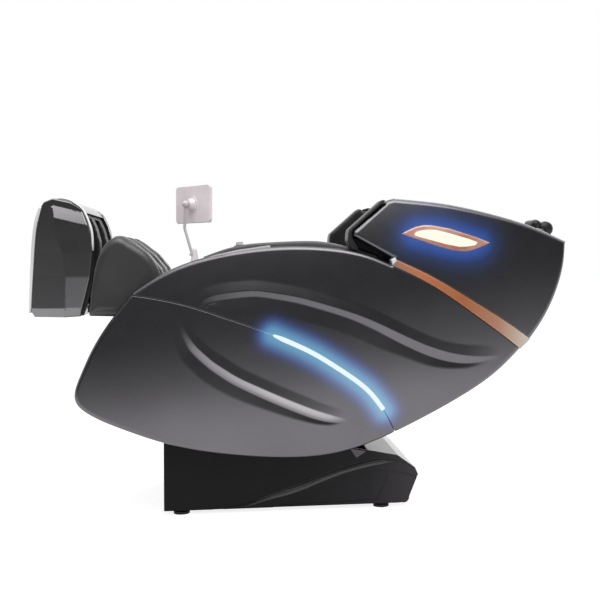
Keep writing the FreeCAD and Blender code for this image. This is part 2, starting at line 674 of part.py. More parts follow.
def body_frame():
    seat = []
    back = []
    world = []
    for tag, y in (("near", "-frame_half"), ("far", "frame_half - frame_plate")):
        seat.append(box("seat_rail_" + tag, "-seat_long + 10", y,
                        "-seat_thick - seat_gap - seat_rail_high", "seat_long - 60",
                        "frame_plate", "seat_rail_high"))
        back.append(box("back_rail_" + tag, "30", y, "-back_thick - seat_gap - back_rail_high",
                        "back_rail_long", "frame_plate", "back_rail_high"))
        back.append(box("head_rail_" + tag, "back_rail_long", y, "-back_thick - seat_gap - 44",
                        "back_long - back_rail_long - 55", "frame_plate", "44"))
    for k, u in enumerate(("110", "415", "back_rail_long + 10")):
        back.append(across("back_tube_%d" % k, "cross_tube", u, "-frame_half + 1",
                           "-track_low - cross_tube", "2 * frame_half - 2"))
    back.append(across("head_tube", "cross_tube", "back_long - 75", "-frame_half + 1",
                       "-back_thick - 26", "2 * frame_half - 2"))
    seat.append(across("seat_tube", "cross_tube", "-seat_long + 40", "-frame_half + 1",
                       "-seat_thick - 24", "2 * frame_half - 2"))
    seat.append(across("drive_tube", "cross_tube", LEG_BACK, "-frame_half + 1",
                       "-seat_thick - 25", "2 * frame_half - 2"))
    for tag, y in (("near", "-leg_ear_half - 6"), ("far", "leg_ear_half")):
        seat.append(box("leg_ear_" + tag, LEG_BACK + " - 20", y, LEG_LINE + " - 16", "40", "6",
                        "-seat_thick - 25 - " + LEG_LINE + " + 16"))
    gusset = [("-160", "hip_z"), ("-29", "hip_z - 72"), ("120", "hip_z"), ("150", "hip_z - 30"),
              ("pivot_x + 40", "pivot_z - 20"), ("pivot_x - 40", "pivot_z - 20"),
              ("-190", "hip_z - 30")]
    lug = [("knee_x", "knee_z + 5"), ("knee_x", "knee_z - knee_lug"), ("-352", "570"),
           ("-352", "606")]
    for tag, start in (("near", "frame_half - frame_plate"), ("far", "-frame_half")):
        world.append(plate("gusset_" + tag, gusset, start, "frame_plate"))
        world.append(plate("knee_lug_" + tag, lug, start, "frame_plate"))
    world.append(across("knee_shaft", "knee_radius", "knee_x", "-knee_out", "knee_z",
                        "2 * knee_out"))
    sleeve = "pivot_radius + running_gap + sleeve_wall"
    world.append(across("pivot_sleeve", sleeve, "pivot_x", "-frame_half", "pivot_z",
                        "2 * frame_half"))
    lever_x = "pivot_x - recline_lever * sin(recline_angle / 2)"
    lever_z = "(pivot_z - recline_lever * cos(recline_angle / 2))"
    lever = [(lever_x + " - lever_half", lever_z), ("pivot_x - lever_half - 6", "pivot_z"),
             ("pivot_x + lever_half + 6", "pivot_z"), (lever_x + " + lever_half", lever_z)]
    world.append(plate("recline_lever_arm", lever, "-lever_thick / 2", "lever_thick"))
    world.append(across("recline_lever_eye", "lever_half", lever_x, "-lever_thick / 2", lever_z,
                        "lever_thick"))
    world.append(across("recline_lever_pin", "pin_radius", lever_x, "-fork_half - fork_ear - 2",
                        lever_z, "2 * (fork_half + fork_ear + 2)"))
    world.append(seat_frame(fuse("seat_weld", seat)))
    world.append(back_frame(fuse("back_weld", back)))
    bore = across("sleeve_bore", "pivot_radius + running_gap", "pivot_x", "-base_half",
                  "pivot_z", "2 * base_half")
    pin = across("leg_pin_bore", "pin_radius + running_gap", LEG_BACK, "-60", LEG_LINE, "120")
    bores = [bore, seat_frame(fuse("leg_pin_bore_placed", [pin, box(
        "leg_pin_bore_end", LEG_BACK, "-60", LEG_LINE, "1", "1", "1")]))]
    node("body_frame", cut("body_structure", fuse("body_weld", world), bores))


def track_rails():
    rails = []
    grooves = []
    for tag, y in (("near", "-track_y"), ("far", "track_y - track_wide")):
        rails.append(box("track_" + tag, "track_start", y, "-track_low",
                         "track_end - track_start", "track_wide", "track_high"))
        inner = y + (" + track_wall" if tag == "near" else " - 1")
        grooves.append(box("track_groove_" + tag, "track_start - 1", inner,
                           "-track_low + track_wall", "track_end - track_start + 2",
                           "track_wide - track_wall + 1", "track_high - 2 * track_wall"))
    for k, u in enumerate(("track_start + 10", "track_end - 30")):
        rails.append(box("track_tie_%d" % k, u, "-track_y", "-track_low", "20", "2 * track_y",
                         "track_wall"))
    tracks = cut("tracks", fuse("track_body", rails), grooves)
    node("track_rails", back_frame(tracks))


# Massage carriage, which runs up and down the back between the rails

def massage_carriage():
    low = "-track_low + track_wall + guide_play + guide_radius"
    plate_low = "(%s - carriage_plate / 2)" % low
    parts = [box("carriage_deck", "carriage_at - carriage_long / 2", "-track_y + track_wide + 3",
                 plate_low, "carriage_long", "2 * (track_y - track_wide - 3)", "carriage_plate")]
    for k, u in enumerate(("carriage_at - carriage_long / 2 + 18",
                           "carriage_at + carriage_long / 2 - 18")):
        parts.append(across("guide_axle_%d" % k, "6", u, "-track_y + track_wall + 1", low,
                            "2 * (track_y - track_wall - 1)"))
        for tag, y in (("near", "-track_y + track_wall + 1"),
                       ("far", "track_y - track_wide - 1 + 2")):
            parts.append(across("guide_%d_%s" % (k, tag), "guide_radius", u, y, low,
                                "track_wide - track_wall - 2"))
    for tag, y in (("near", "-kneader_y - kneader_thick - 12"), ("mid", "-8"),
                   ("far", "kneader_y + kneader_thick + 2")):
        parts.append(box("kneader_post_" + tag, "carriage_at - 16", y, plate_low, "32",
                         "16" if tag == "mid" else "10", "kneader_z - " + plate_low))
    parts.append(across("kneader_shaft", "kneader_axle", "carriage_at",
                        "-kneader_y - kneader_thick - 12", "kneader_z",
                        "2 * (kneader_y + kneader_thick + 12)"))
    parts.append(box("kneader_motor", "carriage_at - 78", "-34", plate_low, "48", "68", "44"))
    node("massage_carriage", back_frame(fuse("carriage", parts)))


def kneader():
    y = "-kneader_y - kneader_thick"
    arm = box("kneader_bar", "carriage_at", y, "kneader_z - 9", "kneader_reach", "kneader_thick",
              "18")
    ends = [across("kneader_hub", "16", "carriage_at", y, "kneader_z", "kneader_thick"),
            across("kneader_tip", "12", "carriage_at + kneader_reach", y, "kneader_z",
                   "kneader_thick"),
            across("kneader_pin", "7", "carriage_at + kneader_reach",
                   "-kneader_y - kneader_thick - roller_wide - 6", "kneader_z",
                   "roller_wide + 6 + kneader_thick")]
    hub = across("kneader_bore", "kneader_axle + running_gap", "carriage_at", y + " - 1",
                 "kneader_z", "kneader_thick + 2")
    left = cut("kneader_near", fuse("kneader_body", [arm] + ends), [hub])
    node("massage_arm_left", back_frame(left))
    node("massage_arm_right", mirror("kneader_far", left))
    wheel = across("roller_disc", "roller_radius", "carriage_at + kneader_reach",
                   "-kneader_y - kneader_thick - roller_wide - 2", "kneader_z", "roller_wide")
    DOC.recompute()
    soft = DOC.addObject("Part::Chamfer", "roller_bevel")
    soft.Base = wheel
    soft.Edges = [(k, 9, 9) for k, edge in enumerate(wheel.Shape.Edges, start=1)
                  if edge.Closed]
    bore = across("roller_bore", "7 + running_gap", "carriage_at + kneader_reach",
                  "-kneader_y - kneader_thick - roller_wide - 4", "kneader_z",
                  "roller_wide + 4")
    roller = cut("roller_near", soft, [bore])
    node("massage_roller_left", back_frame(roller))
    node("massage_roller_right", mirror("roller_far", roller))


# Soft parts, shaped in their own flat frames

def cushion(start, end, half, low, high, crown_drop, corner, edge_round, channels, groove):
    block = Part.makeBox(end - start, 2 * half, high - low, Vector(start, -half, low))
    block = round_edges(block, corner, lambda e: abs(middle(e).z - (low + high) / 2) < 0.01)
    across_radius = half ** 2 / (2 * crown_drop)
    bulge = Part.makeCylinder(across_radius, 2 * (end - start) + 400,
                              Vector(start - 300, 0, high - across_radius), Vector(1, 0, 0))
    block = block.common(bulge)
    block = round_edges(block, edge_round, lambda e: middle(e).z > low + 5
                        and abs(e.valueAt(e.FirstParameter).z - e.valueAt(e.LastParameter).z) < 20
                        and middle(e).z > (low + high) / 2)
    for u in channels:
        tool = Part.makeCylinder(groove * 2, 2 * half + 40, Vector(u, -half - 20, high + groove),
                                 Vector(0, 1, 0))
        block = block.cut(tool)
    return block


def seat_cushion():
    long = size("seat_long")
    thick = size("seat_thick")
    pads = [-long * k / 4 for k in (1, 2, 3)]
    shape = cushion(-long, -0.5, size("cushion_half"), -thick, 0, 14, 26, 20, pads, 5)
    node("seat_cushion", seat_frame(solid_of("seat_pad", shape)))


def back_cushion():
    long = size("back_long")
    thick = size("back_thick")
    pads = [105, 195, 285, 375, 465, 560, 680]
    shape = cushion(0.5, long - 6, size("cushion_half"), -thick, 0, 10, 20, 16, pads, 5)
    roll = Part.makeCylinder(30, 2 * size("cushion_half") - 60,
                             Vector(long - 7, -size("cushion_half") + 30, 6), Vector(0, 1, 0))
    roll = roll.makeFillet(20, [e for e in roll.Edges if e.Closed])
    node("back_cushion", back_frame(solid_of("back_pad", shape.fuse(roll))))


def head_pillow():
    long = size("back_long")
    shape = cushion(long - 195, long - 44, 160, 0.5, 62, 16, 40, 24, [long - 120], 4)
    node("head_pillow", back_frame(solid_of("pillow", shape)))


# Covers and padding between and on the side shells

def rear_cover():
    line = TIP_LINE[4::-1] + HOOD_REAR[1:]
    line[0] = (165, 227)
    outside = shift_curve(line, size("rear_inset"))
    inside = shift_curve(line, size("rear_inset") + size("rear_skin"))
    half = size("inner_wall") - size("seat_gap")
    edges = [curve(outside), curve(inside)] + straight([outside[0], inside[0]])
    node("rear_cover", solid_of("rear_skin_shape",
                                slab(edges + straight([outside[-1], inside[-1]]), -half, half)))


def arc_strip(low, high, start, end):
    # Side view strip that follows the arched top of the shell.
    centre_z = size("arm_top") - size("arm_arc")
    corners = []
    edges = []
    for lift in (low, high):
        radius = size("arm_arc") + lift
        points = []
        for x in (start, (start + end) / 2, end):
            reach = x - size("arm_arc_x")
            points.append(Vector(x, 0, centre_z + math.sqrt(radius ** 2 - reach ** 2)))
        edges.append(Part.Arc(*points).toShape())
        corners.append(points)
    edges.append(Part.makeLine(corners[0][0], corners[1][0]))
    edges.append(Part.makeLine(corners[0][2], corners[1][2]))
    return edges


def arm_pads():
    gap = size("seat_gap")
    high = size("pad_high")
    plinth = size("pad_plinth")
    step = size("pad_step")
    outer = size("pad_outer")
    inner = size("pad_inner")
    start = size("pad_front")
    end = size("pad_rear")
    pad = slab(arc_strip(plinth, high, start, end), -outer, -inner)
    pad = round_edges(pad, 26, lambda e: abs(middle(e).y) > outer - 1 and e.Length < 25)
    pad = round_edges(pad, size("pad_round"), lambda e: abs(
        math.hypot(middle(e).x - size("arm_arc_x"),
                   middle(e).z - size("arm_top") + size("arm_arc")) - size("arm_arc") - high) < 1)
    foot = slab(arc_strip(gap, plinth + 1, start + step, end - step), -outer + step, -inner - step)
    left = solid_of("arm_pad_shape", pad.fuse(foot))
    node("arm_pad_left", left)
    node("arm_pad_right", mirror("arm_pad_far", left))


def arm_liners():
    wall = size("inner_wall") - size("seat_gap")
    outline = [(-368, 662), (-388, 700), (-392, 776), (-330, 800), (-180, 830), (-60, 838),
               (80, 828), (180, 812), (228, 790), (228, 580), (2, 466)]
    panel = slab(rounded(outline, 14), -wall, -wall + size("liner_thick"))
    panel = round_edges(panel, 8, lambda e: abs(middle(e).y + wall - size("liner_thick")) < 0.01)
    left = solid_of("arm_liner_shape", panel)
    node("arm_liner_left", left)
    node("arm_liner_right", mirror("arm_liner_far", left))


def hood_liners():
    wall = size("inner_wall") - size("seat_gap")
    outline = [(146, 862), (236, 832), (236, 592), (700, 818), (835, 877), (720, 925), (655, 945),
               (588, 962), (522, 976), (456, 989), (391, 998), (326, 1004), (248, 1006), (138, 910),
               (136, 886)]
    panel = slab(rounded(outline, 8), -wall, -wall + size("liner_thick"))
    panel = round_edges(panel, 6, lambda e: abs(middle(e).y + wall - size("liner_thick")) < 0.01
                        and e.Length > 12)
    # Padded roll in front of the hood's edge.
    roll = [(131, 917), (128, 884), (136, 857), (156, 846), (166, 852), (141, 896), (145, 915),
            (256, 1014), (240, 1014)]
    front = slab(rounded(roll, 6), -size("roll_outer"), -wall + size("liner_thick"))
    front = round_edges(front, 4, lambda e: abs(abs(middle(e).y) - size("roll_outer")) < 0.01
                        and e.Length > 12)
    left = solid_of("hood_liner_shape", panel.fuse(front))
    node("hood_liner_left", left)
    node("hood_liner_right", mirror("hood_liner_far", left))


# Tablet holder and dial

def holder_seat():
    # Point and upright direction where the holder stands on the arched shell top.
    lean = math.asin((size("holder_x") - size("arm_arc_x")) / size("arm_arc"))
    up = Vector(math.sin(lean), 0, math.cos(lean))
    spot = Vector(size("holder_x"), size("holder_y"), arm_height(size("holder_x")))
    return spot + up * size("seat_gap"), up, math.degrees(lean)


def holder():
    spot, up, lean = holder_seat()
    foot = DOC.addObject("Part::Cone", "holder_cone")
    bind(foot, "Radius1", "holder_foot")
    bind(foot, "Radius2", "holder_top")
    bind(foot, "Height", "holder_high")
    bore = upright_bar("holder_socket", "arm_tube + running_gap", "0", "0", "8", "holder_high")
    base = cut("holder_foot_piece", foot, [bore])
    base.Placement = FreeCAD.Placement(spot, FreeCAD.Rotation(Vector(0, 1, 0), lean))
    node("holder_base", base)


def sweep_bar(points, bend, radius):
    # Round rod along straight runs joined by tangent arcs.
    corners = [Vector(*p) for p in points]
    edges = []
    here = corners[0]
    for k in range(1, len(corners) - 1):
        back = (corners[k - 1] - corners[k]).normalize()
        ahead = (corners[k + 1] - corners[k]).normalize()
        half_turn = back.getAngle(ahead) / 2
        reach = bend / math.tan(half_turn)
        first = corners[k] + back * reach
        second = corners[k] + ahead * reach
        inward = (back + ahead).normalize()
        centre = corners[k] + inward * (bend / math.sin(half_turn))
        edges.append(Part.makeLine(here, first))
        edges.append(Part.Arc(first, centre - inward * bend, second).toShape())
        here = second
    edges.append(Part.makeLine(here, corners[-1]))
    path = Part.Wire(edges)
    start = (corners[1] - corners[0]).normalize()
    ring = Part.Wire([Part.makeCircle(radius, corners[0], start)])
    return path.makePipeShell([ring], True, False)


def tablet_facing():
    turn = math.radians(size("tablet_turn"))
    return Vector(math.cos(turn), math.sin(turn), 0)


def holder_arm():
    spot, up, lean = holder_seat()
    facing = tablet_facing()
    head = Vector(size("tablet_x"), size("holder_y"), size("tablet_z"))
    head -= facing * size("knuckle_back")
    bend = spot + up * size("arm_rise")
    rod = sweep_bar([spot + up * 9, bend, head], 14, size("arm_tube"))
    ball = Part.makeSphere(size("knuckle_radius"), head)
    collar = Part.makeCylinder(8, 7, spot + up * (size("holder_high") + 0.3), up)
    node("holder_arm", solid_of("holder_rod", rod.fuse([ball, collar])))


def tablet():
    wide = size("tablet_wide")
    high = size("tablet_high")
    thick = size("tablet_thick")
    slate = Part.makeBox(thick, wide, high, Vector(-thick / 2, -wide / 2, -high / 2))
    slate = round_edges(slate, 12, lambda e: abs(middle(e).x) < 0.01)
    slate = bevel_edges(slate, 1.5, lambda e: abs(middle(e).x + thick / 2) < 0.01)
    screen = Part.makeBox(1, wide - 14, high - 14, Vector(thick / 2 - 0.6, 7 - wide / 2,
                                                          7 - high / 2))
    back = -size("knuckle_back")
    reach = size("knuckle_radius") + 0.3
    cup = Part.makeCone(14, 22, -back - thick / 2 - 7, Vector(back + 8.5, 0, 0), Vector(1, 0, 0))
    cup = cup.cut(Part.makeSphere(reach, Vector(back, 0, 0)))
    rose = Part.makeCylinder(26, 3, Vector(-thick / 2 - 2.5, 0, 0), Vector(1, 0, 0))
    shape = slate.cut(screen).fuse([cup, rose])
    thing = solid_of("tablet_shape", shape)
    place(thing, "tablet_x", "holder_y", "tablet_z", (0, 0, 1), "tablet_turn")
    node("tablet", thing)


def dial():
    tilt = math.degrees(math.asin((size("dial_x") - size("arm_arc_x")) / size("arm_arc")))
    radius = size("arm_arc") + size("pad_high") + size("seat_gap")
    centre_z = size("arm_top") - size("arm_arc")
    turn = math.radians(tilt)
    base = Vector(size("arm_arc_x") + radius * math.sin(turn), size("dial_y"),
                  centre_z + radius * math.cos(turn))
    rotation = FreeCAD.Rotation(Vector(0, 1, 0), tilt)
    pod = Part.makeCylinder(size("pod_radius"), size("pod_high"))
    pod = bevel_edges(pod, 1.5, lambda e: e.Closed and middle(e).z > 1)
    pin = Part.makeCylinder(4, 6, Vector(0, 0, size("pod_high") - 1))
    seat = solid_of("pod_shape", pod.fuse(pin))
    seat.Placement = FreeCAD.Placement(base, rotation)
    node("control_pod", seat)
    knob = Part.makeCylinder(size("dial_radius"), size("dial_high"),
                             Vector(0, 0, size("pod_high") + 0.3))
    knob = bevel_edges(knob, 1.5, lambda e: e.Closed and middle(e).z > size("pod_high") + 2)
    knob = knob.cut(Part.makeCylinder(4.05, 6, Vector(0, 0, size("pod_high") - 0.5)))
    for k in range(12):
        angle = 2 * math.pi * k / 12
        notch = Part.makeCylinder(1.6, 30, Vector(size("dial_radius") * math.cos(angle),
                                                  size("dial_radius") * math.sin(angle), 3))
        knob = knob.cut(notch)
    top = solid_of("dial_shape", knob)
    top.Placement = FreeCAD.Placement(base, rotation)
    node("control_dial", top)


# Leg drive

def leg_drive():
    parts = [along("leg_barrel", "tube_radius - 2", LEG_EYE + " + leg_tube_start", "0", LEG_LINE,
                   "leg_tube_long"),
             box("leg_gearbox", LEG_BACK + " - 40", "-leg_ear_half + seat_gap", LEG_LINE + " - 22",
                 "52", "2 * (leg_ear_half - seat_gap)", "38"),
             across("leg_pin", "pin_radius", LEG_BACK, "-leg_ear_half - 8", LEG_LINE,
                    "2 * leg_ear_half + 16"),
             along("leg_motor", "17", LEG_BACK + " - 120", "0", LEG_LINE + " - 36", "128")]
    bore = along("leg_bore", "rod_radius + running_gap", LEG_EYE + " + leg_tube_start - 1", "0",
                 LEG_LINE, "leg_tube_long - 20")
    node("leg_tube", seat_frame(cut("leg_housing", fuse("leg_body", parts), [bore])))
    eye = "pin_radius + leg_play"
    parts = [along("leg_bar", "rod_radius", LEG_EYE + " + 24", "0", LEG_LINE,
                   "leg_tube_start + 80"),
             box("leg_fork_back", LEG_EYE + " + 19", "-fork_half - fork_ear", LEG_LINE + " - 10",
                 "18", "2 * (fork_half + fork_ear)", "20")]
    for tag, y in (("near", "-fork_half - fork_ear"), ("far", "fork_half")):
        parts.append(box("leg_ear_bar_" + tag, LEG_EYE, y, LEG_LINE + " - 10", "22", "fork_ear",
                         "20"))
        parts.append(across("leg_eye_" + tag, eye + " + eye_wall", LEG_EYE, y, LEG_LINE,
                            "fork_ear"))
    hole = across("leg_eye_hole", eye, LEG_EYE, "-40", LEG_LINE, "80")
    node("leg_rod", seat_frame(cut("leg_fork", fuse("leg_rod_body", parts), [hole])))


# Calf rest

CALF = [(-685, 643), (-663, 756), (-642, 812), (-623, 881), (-604, 897), (-580, 897), (-549, 878),
        (-499, 838), (-462, 793), (-453, 765), (-470, 700), (-544, 639)]
CALF_SIDE = [(-685, 643), (-663, 756), (-648, 797), (-628, 862), (-606, 875), (-584, 875),
             (-556, 857), (-508, 817), (-475, 778), (-466, 757), (-478, 703), (-544, 639)]
CALF_PAD = [(-676, 690)] + CALF[1:10] + [(-468, 716), (-499, 690)]


def calf_frame():
    arm = [("knee_x + 2", "knee_z - knee_lug"), ("knee_x + 2", "knee_z + knee_lug"),
           ("-500", "rod_z + 6"), ("-692", "rod_z + 6"), ("-692", "rod_z - 14"),
           ("-520", "rod_z - 14")]
    outer = "(leg_out + leg_arm)"
    parts = []
    bores = [across("knee_bore", "knee_radius + running_gap", "knee_x", "-base_half", "knee_z",
                    "2 * base_half")]
    for tag, start, side, y in (("near", "leg_out", "-" + outer, "-rod_y"),
                                ("far", "-" + outer, "leg_out", "rod_y")):
        parts.append(plate("calf_arm_" + tag, arm, start, "leg_arm"))
        parts.append(across("knee_eye_" + tag, "knee_lug", "knee_x", side, "knee_z", "leg_arm"))
        block = "-leg_out - 1" if tag == "near" else "rod_y - slide_rod - 5"
        parts.append(box("guide_block_" + tag, "-690", block, "rod_z - slide_rod - 5", "32",
                         "leg_out + 1 - rod_y + slide_rod + 5", "2 * slide_rod + 10"))
        bores.append(along("guide_bore_" + tag, "slide_rod + slide_gap", "-695", y, "rod_z", "50"))
    parts.append(across("calf_cross", "knee_radius", "leg_cross_x", "-leg_out - 1", "knee_z",
                        "2 * leg_out + 2"))
    eye_x = "(knee_x + leg_lever * cos" + LEVER_TURN + ")"
    eye_z = "(knee_z + leg_lever * sin" + LEVER_TURN + ")"
    lever = [(eye_x + " - 9", eye_z), ("leg_cross_x - 9", "knee_z"), ("leg_cross_x + 9", "knee_z"),
             (eye_x + " + 9", eye_z)]
    parts.append(plate("leg_lever_arm", lever, "-lever_thick / 2", "lever_thick"))
    parts.append(across("leg_lever_eye", "9", eye_x, "-lever_thick / 2", eye_z, "lever_thick"))
    parts.append(across("leg_lever_pin", "pin_radius", eye_x, "-fork_half - fork_ear - 2", eye_z,
                        "2 * (fork_half + fork_ear + 2)"))
    node("calf_frame", cut("calf_structure", fuse("calf_weld", parts), bores))


def side_edges(half):
    return lambda e: abs(abs(middle(e).y) - half) < 0.01


def calf_shell():
    half = size("leg_half")
    inside = half - size("leg_wall")
    shell = polygon(CALF_SIDE, -half, half)
    shell = round_edges(shell, 5, side_edges(half))
    floor = [(-720, 651), (-541, 651), (-470, 712), (-430, 740), (-430, 960), (-720, 960)]
    shell = shell.cut(polygon(floor, -inside, inside))
    for sign in (-1, 1):
        slot = Part.makeBox(140, inside - size("leg_out") + 1, 130,
                            Vector(-570, min(sign * inside, sign * (size("leg_out") - 1)), 600))
        shell = shell.cut(slot)
    node("calf_shell", solid_of("calf_tray", shell))


def calf_pad():
    half = size("leg_half")
    inside = size("calf_half_inside")
    rim = polygon(CALF_PAD, -half, half)
    rim = round_edges(rim, 9, lambda e: side_edges(half)(e) and middle(e).z > 770
                      and middle(e).x > -640 and middle(e).x < -470)
    grown = polygon(shrink(CALF_SIDE, -0.4), -half - 5, half + 5)
    rim = rim.cut(grown)
    pad = polygon(CALF_PAD, -inside, inside).fuse(rim)
    radius = size("calf_trough")
    for sign in (-1, 1):
        trough = Part.makeCylinder(radius, 420, Vector(-210, 0, 0), Vector(1, 0, 0))
        open_top = Part.makeBox(420, 2 * radius, 200, Vector(-210, -radius, 0))
        trough = trough.fuse(open_top)
        trough.rotate(Vector(), Vector(0, 1, 0), 14)
        trough.translate(Vector(-560, sign * size("calf_trough_y"), 828))
        pad = pad.cut(trough)
    pad = max(pad.Solids, key=lambda s: s.Volume)
    node("calf_pad", solid_of("calf_cushion", pad))


# Foot rest

FOOT = [(-852, 644), (-854, 694), (-854, 756), (-847, 849), (-837, 926), (-822, 985), (-795, 1011),
        (-772, 1015), (-742, 1008), (-719, 995), (-701, 973), (-683, 932), (-672, 880), (-672, 812),
        (-682, 724), (-704, 644)]
POCKET = [(-838, 684), (-839, 760), (-833, 850), (-822, 925), (-808, 978), (-788, 998), (-748, 992)]
FOOT_LINER = POCKET + [(-714, 978), (-692, 930), (-680, 882), (-680, 812), (-689, 730), (-699, 684)]
FOOT_PANEL = [(-832, 968), (-800, 968), (-789, 941), (-778, 896), (-780, 880), (-836, 856),
              (-838, 940)]
WELL = [(-800, 706), (-800, 938), (-784, 972), (-742, 972), (-600, 905), (-600, 706)]


def foot_outline():
    return [curve(FOOT)] + straight([FOOT[-1], FOOT[0]])


def foot_edge_line(step):
    # The sole side of the foot unit's outline, moved outward by a step.
    spline = Part.BSplineCurve()
    spline.interpolate(Points=[Vector(x, 0, z) for x, z in FOOT])
    last = spline.parameter(Vector(FOOT[6][0], 0, FOOT[6][1]))
    points = []
    for k in range(11):
        where = last * k / 10
        point = spline.value(where)
        run = spline.tangent(where)[0]
        points.append((point.x - run.z * step, point.z + run.x * step))
    return points


def foot_edging(grow, below=0):
    half = size("foot_half") + size("trim_proud")
    wide = size("trim_wide") + grow
    proud = 1.2 + grow
    outer = foot_edge_line(proud)
    inner = foot_edge_line(-wide)
    edges = [curve(outer), curve(inner)] + straight([outer[0], inner[0]])
    edges += straight([outer[-1], inner[-1]])
    strip = slab(edges, -half, half)
    strip = strip.cut(slab(edges, -half + wide + 1.5, half - wide - 1.5))
    foot_bar = Part.makeBox(wide + proud, 2 * half, wide + below,
                            Vector(FOOT[0][0] - proud, -half, FOOT[0][1] - below))
    return strip.fuse(foot_bar)


def foot_facet(sign):
    # The side turns inward behind a leaning crease; this block is what lies outside it.
    block = Part.makeBox(200, 60, 600, Vector(0, 0, -300))
    if sign < 0:
        block.translate(Vector(0, -60, 0))
    block.rotate(Vector(), Vector(0, 0, 1), -sign * size("foot_turn"))
    block.rotate(Vector(), Vector(0, 1, 0), size("foot_lean"))
    block.translate(Vector(size("foot_crease"), sign * size("foot_half"), 780))
    return block


def foot_bevel(sign):
    # Long bevel under the side, behind the edge trim.
    half = size("foot_half")
    high = size("foot_bevel")
    low = FOOT[0][1] - 1
    corners = [Vector(0, sign * (half + 1), low), Vector(0, sign * (half - 5), low),
               Vector(0, sign * (half + 1), low + 1.2 * high)]
    face = Part.Face(Part.makePolygon(corners + corners[:1]))
    face.translate(Vector(FOOT[0][0] + 14, 0, 0))
    return face.extrude(Vector(160, 0, 0))


def foot_rest():
    half = size("foot_half")
    inside = half - size("foot_wall")
    gap = size("seat_gap")
    shell = slab(foot_outline(), -half, half)
    shell = round_edges(shell, 9, lambda e: side_edges(half)(e) and middle(e).z > 660)
    for sign in (-1, 1):
        shell = shell.cut(foot_facet(sign)).cut(foot_bevel(sign))
        near, far = sorted((sign * (half - size("foot_recess")), sign * (half + 1)))
        shell = shell.cut(polygon(FOOT_PANEL, near, far))
    bumpers = []
    for y in (-size("bumper_y"), size("bumper_y")):
        for x, z in ((-855, 664), (-844, 930)):
            block = Part.makeCylinder(size("bumper_radius"), 20, Vector(x, y, z), Vector(1, 0, 0))
            bumpers.append(block.cut(shell).Solids[0])
    node("foot_bumpers", solid_of("bumpers", Part.Compound(bumpers)))
    pocket = POCKET + [(-600, 930), (-600, 684)]
    shell = shell.cut(polygon(pocket, -inside, inside))
    for sign in (-1, 1):
        bore = Part.makeCylinder(size("slide_rod") + size("slide_gap"), 60,
                                 Vector(-744, sign * size("rod_y"), size("rod_z")),
                                 Vector(1, 0, 0))
        shell = shell.cut(bore)
    shell = shell.cut(foot_edging(gap, 5))
    shell = max(shell.Solids, key=lambda s: s.Volume)
    node("foot_shell", solid_of("foot_housing", shell))
    node("foot_trim", solid_of("foot_edge", foot_edging(0)))
    liner = polygon(shrink(FOOT_LINER, gap), -inside + gap, inside - gap)
    centre = size("well_centre")
    reach = size("well_half")
    for sign in (-1, 1):
        well = slab(rounded(WELL, 16), sign * centre - reach, sign * centre + reach)
        liner = liner.cut(well)
    roll_x = size("foot_roll_x")
    roll_z = size("foot_roll_z")
    room = Part.makeCylinder(21, 2 * (centre + reach), Vector(roll_x, -centre - reach, roll_z),
                             Vector(0, 1, 0))
    shaft = Part.makeCylinder(5.05, 2 * (centre + reach + 12),
                              Vector(roll_x, -centre - reach - 12, roll_z), Vector(0, 1, 0))
    liner = liner.cut(room).cut(shaft)
    node("foot_liner", solid_of("foot_padding", liner))


def foot_roller():
    roll_x = size("foot_roll_x")
    roll_z = size("foot_roll_z")
    centre = size("well_centre")
    reach = size("well_half")
    shape = Part.makeCylinder(5, 2 * (centre + reach + 11),
                              Vector(roll_x, -centre - reach - 11, roll_z), Vector(0, 1, 0))
    for sign in (-1, 1):
        for step in (-36, 0, 36):
            for start, low, high, wide in ((-10, 14, 19, 5), (-5, 19, 19, 10), (5, 19, 14, 5)):
                disc = Part.makeCone(low, high, wide, Vector(roll_x, sign * centre + step + start,
                                                             roll_z), Vector(0, 1, 0)) \
                    if low != high else Part.makeCylinder(high, wide, Vector(
                        roll_x, sign * centre + step + start, roll_z), Vector(0, 1, 0))
                shape = shape.fuse(disc)
    node("foot_roller", solid_of("sole_roller", shape))


def foot_frame():
    parts = []
    for tag, y in (("near", "-rod_y"), ("far", "rod_y")):
        parts.append(along("slide_bar_" + tag, "slide_rod", "-742", y, "rod_z", "200"))
    parts.append(box("slide_tie", "-554", "-rod_y", "rod_z - 8", "12", "2 * rod_y", "16"))
    node("foot_frame", fuse("foot_slide", parts))


def twin(left, right):
    source = [thing for name, thing in NODES if name == left][0]
    node(right, mirror(right + "_solid", source))


def build():
    base_cover()
    base_tabs()
    base_ends()
    base_frame()
    base_feet()
    transport_wheels()
    power_supply()
    recline_drive()
    body_frame()
    track_rails()
    massage_carriage()
    kneader()
    leg_drive()
    side_panels()
    hood_panel()
    for piece in ("front_shell", "side_shell", "light_strip", "hood_shell", "copper_trim",
                  "lamp_bezel", "lamp_lens"):
        twin(piece + "_left", piece + "_right")
    rear_cover()
    seat_cushion()
    back_cushion()
    head_pillow()
    arm_liners()
    hood_liners()
    arm_pads()
    holder()
    holder_arm()
    tablet()
    dial()
    calf_frame()
    calf_shell()
    calf_pad()
    foot_rest()
    foot_roller()
    foot_frame()
    DOC.recompute()


build()
for thing in DOC.Objects:
    if "Invalid" in thing.State or "Error" in thing.State:
        raise RuntimeError("failed feature: " + thing.Name)
for name, thing in NODES:
    if thing.Shape.isNull() or not thing.Shape.isValid():
        raise RuntimeError("bad shape: " + name)
for name, thing in NODES:
    thing.Shape.exportStep("parts/%s.step" % name)
print("nodes", len(NODES))
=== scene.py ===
import json
import math

import bpy
import numpy as np
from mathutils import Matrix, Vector
from mathutils.geometry import delaunay_2d_cdt

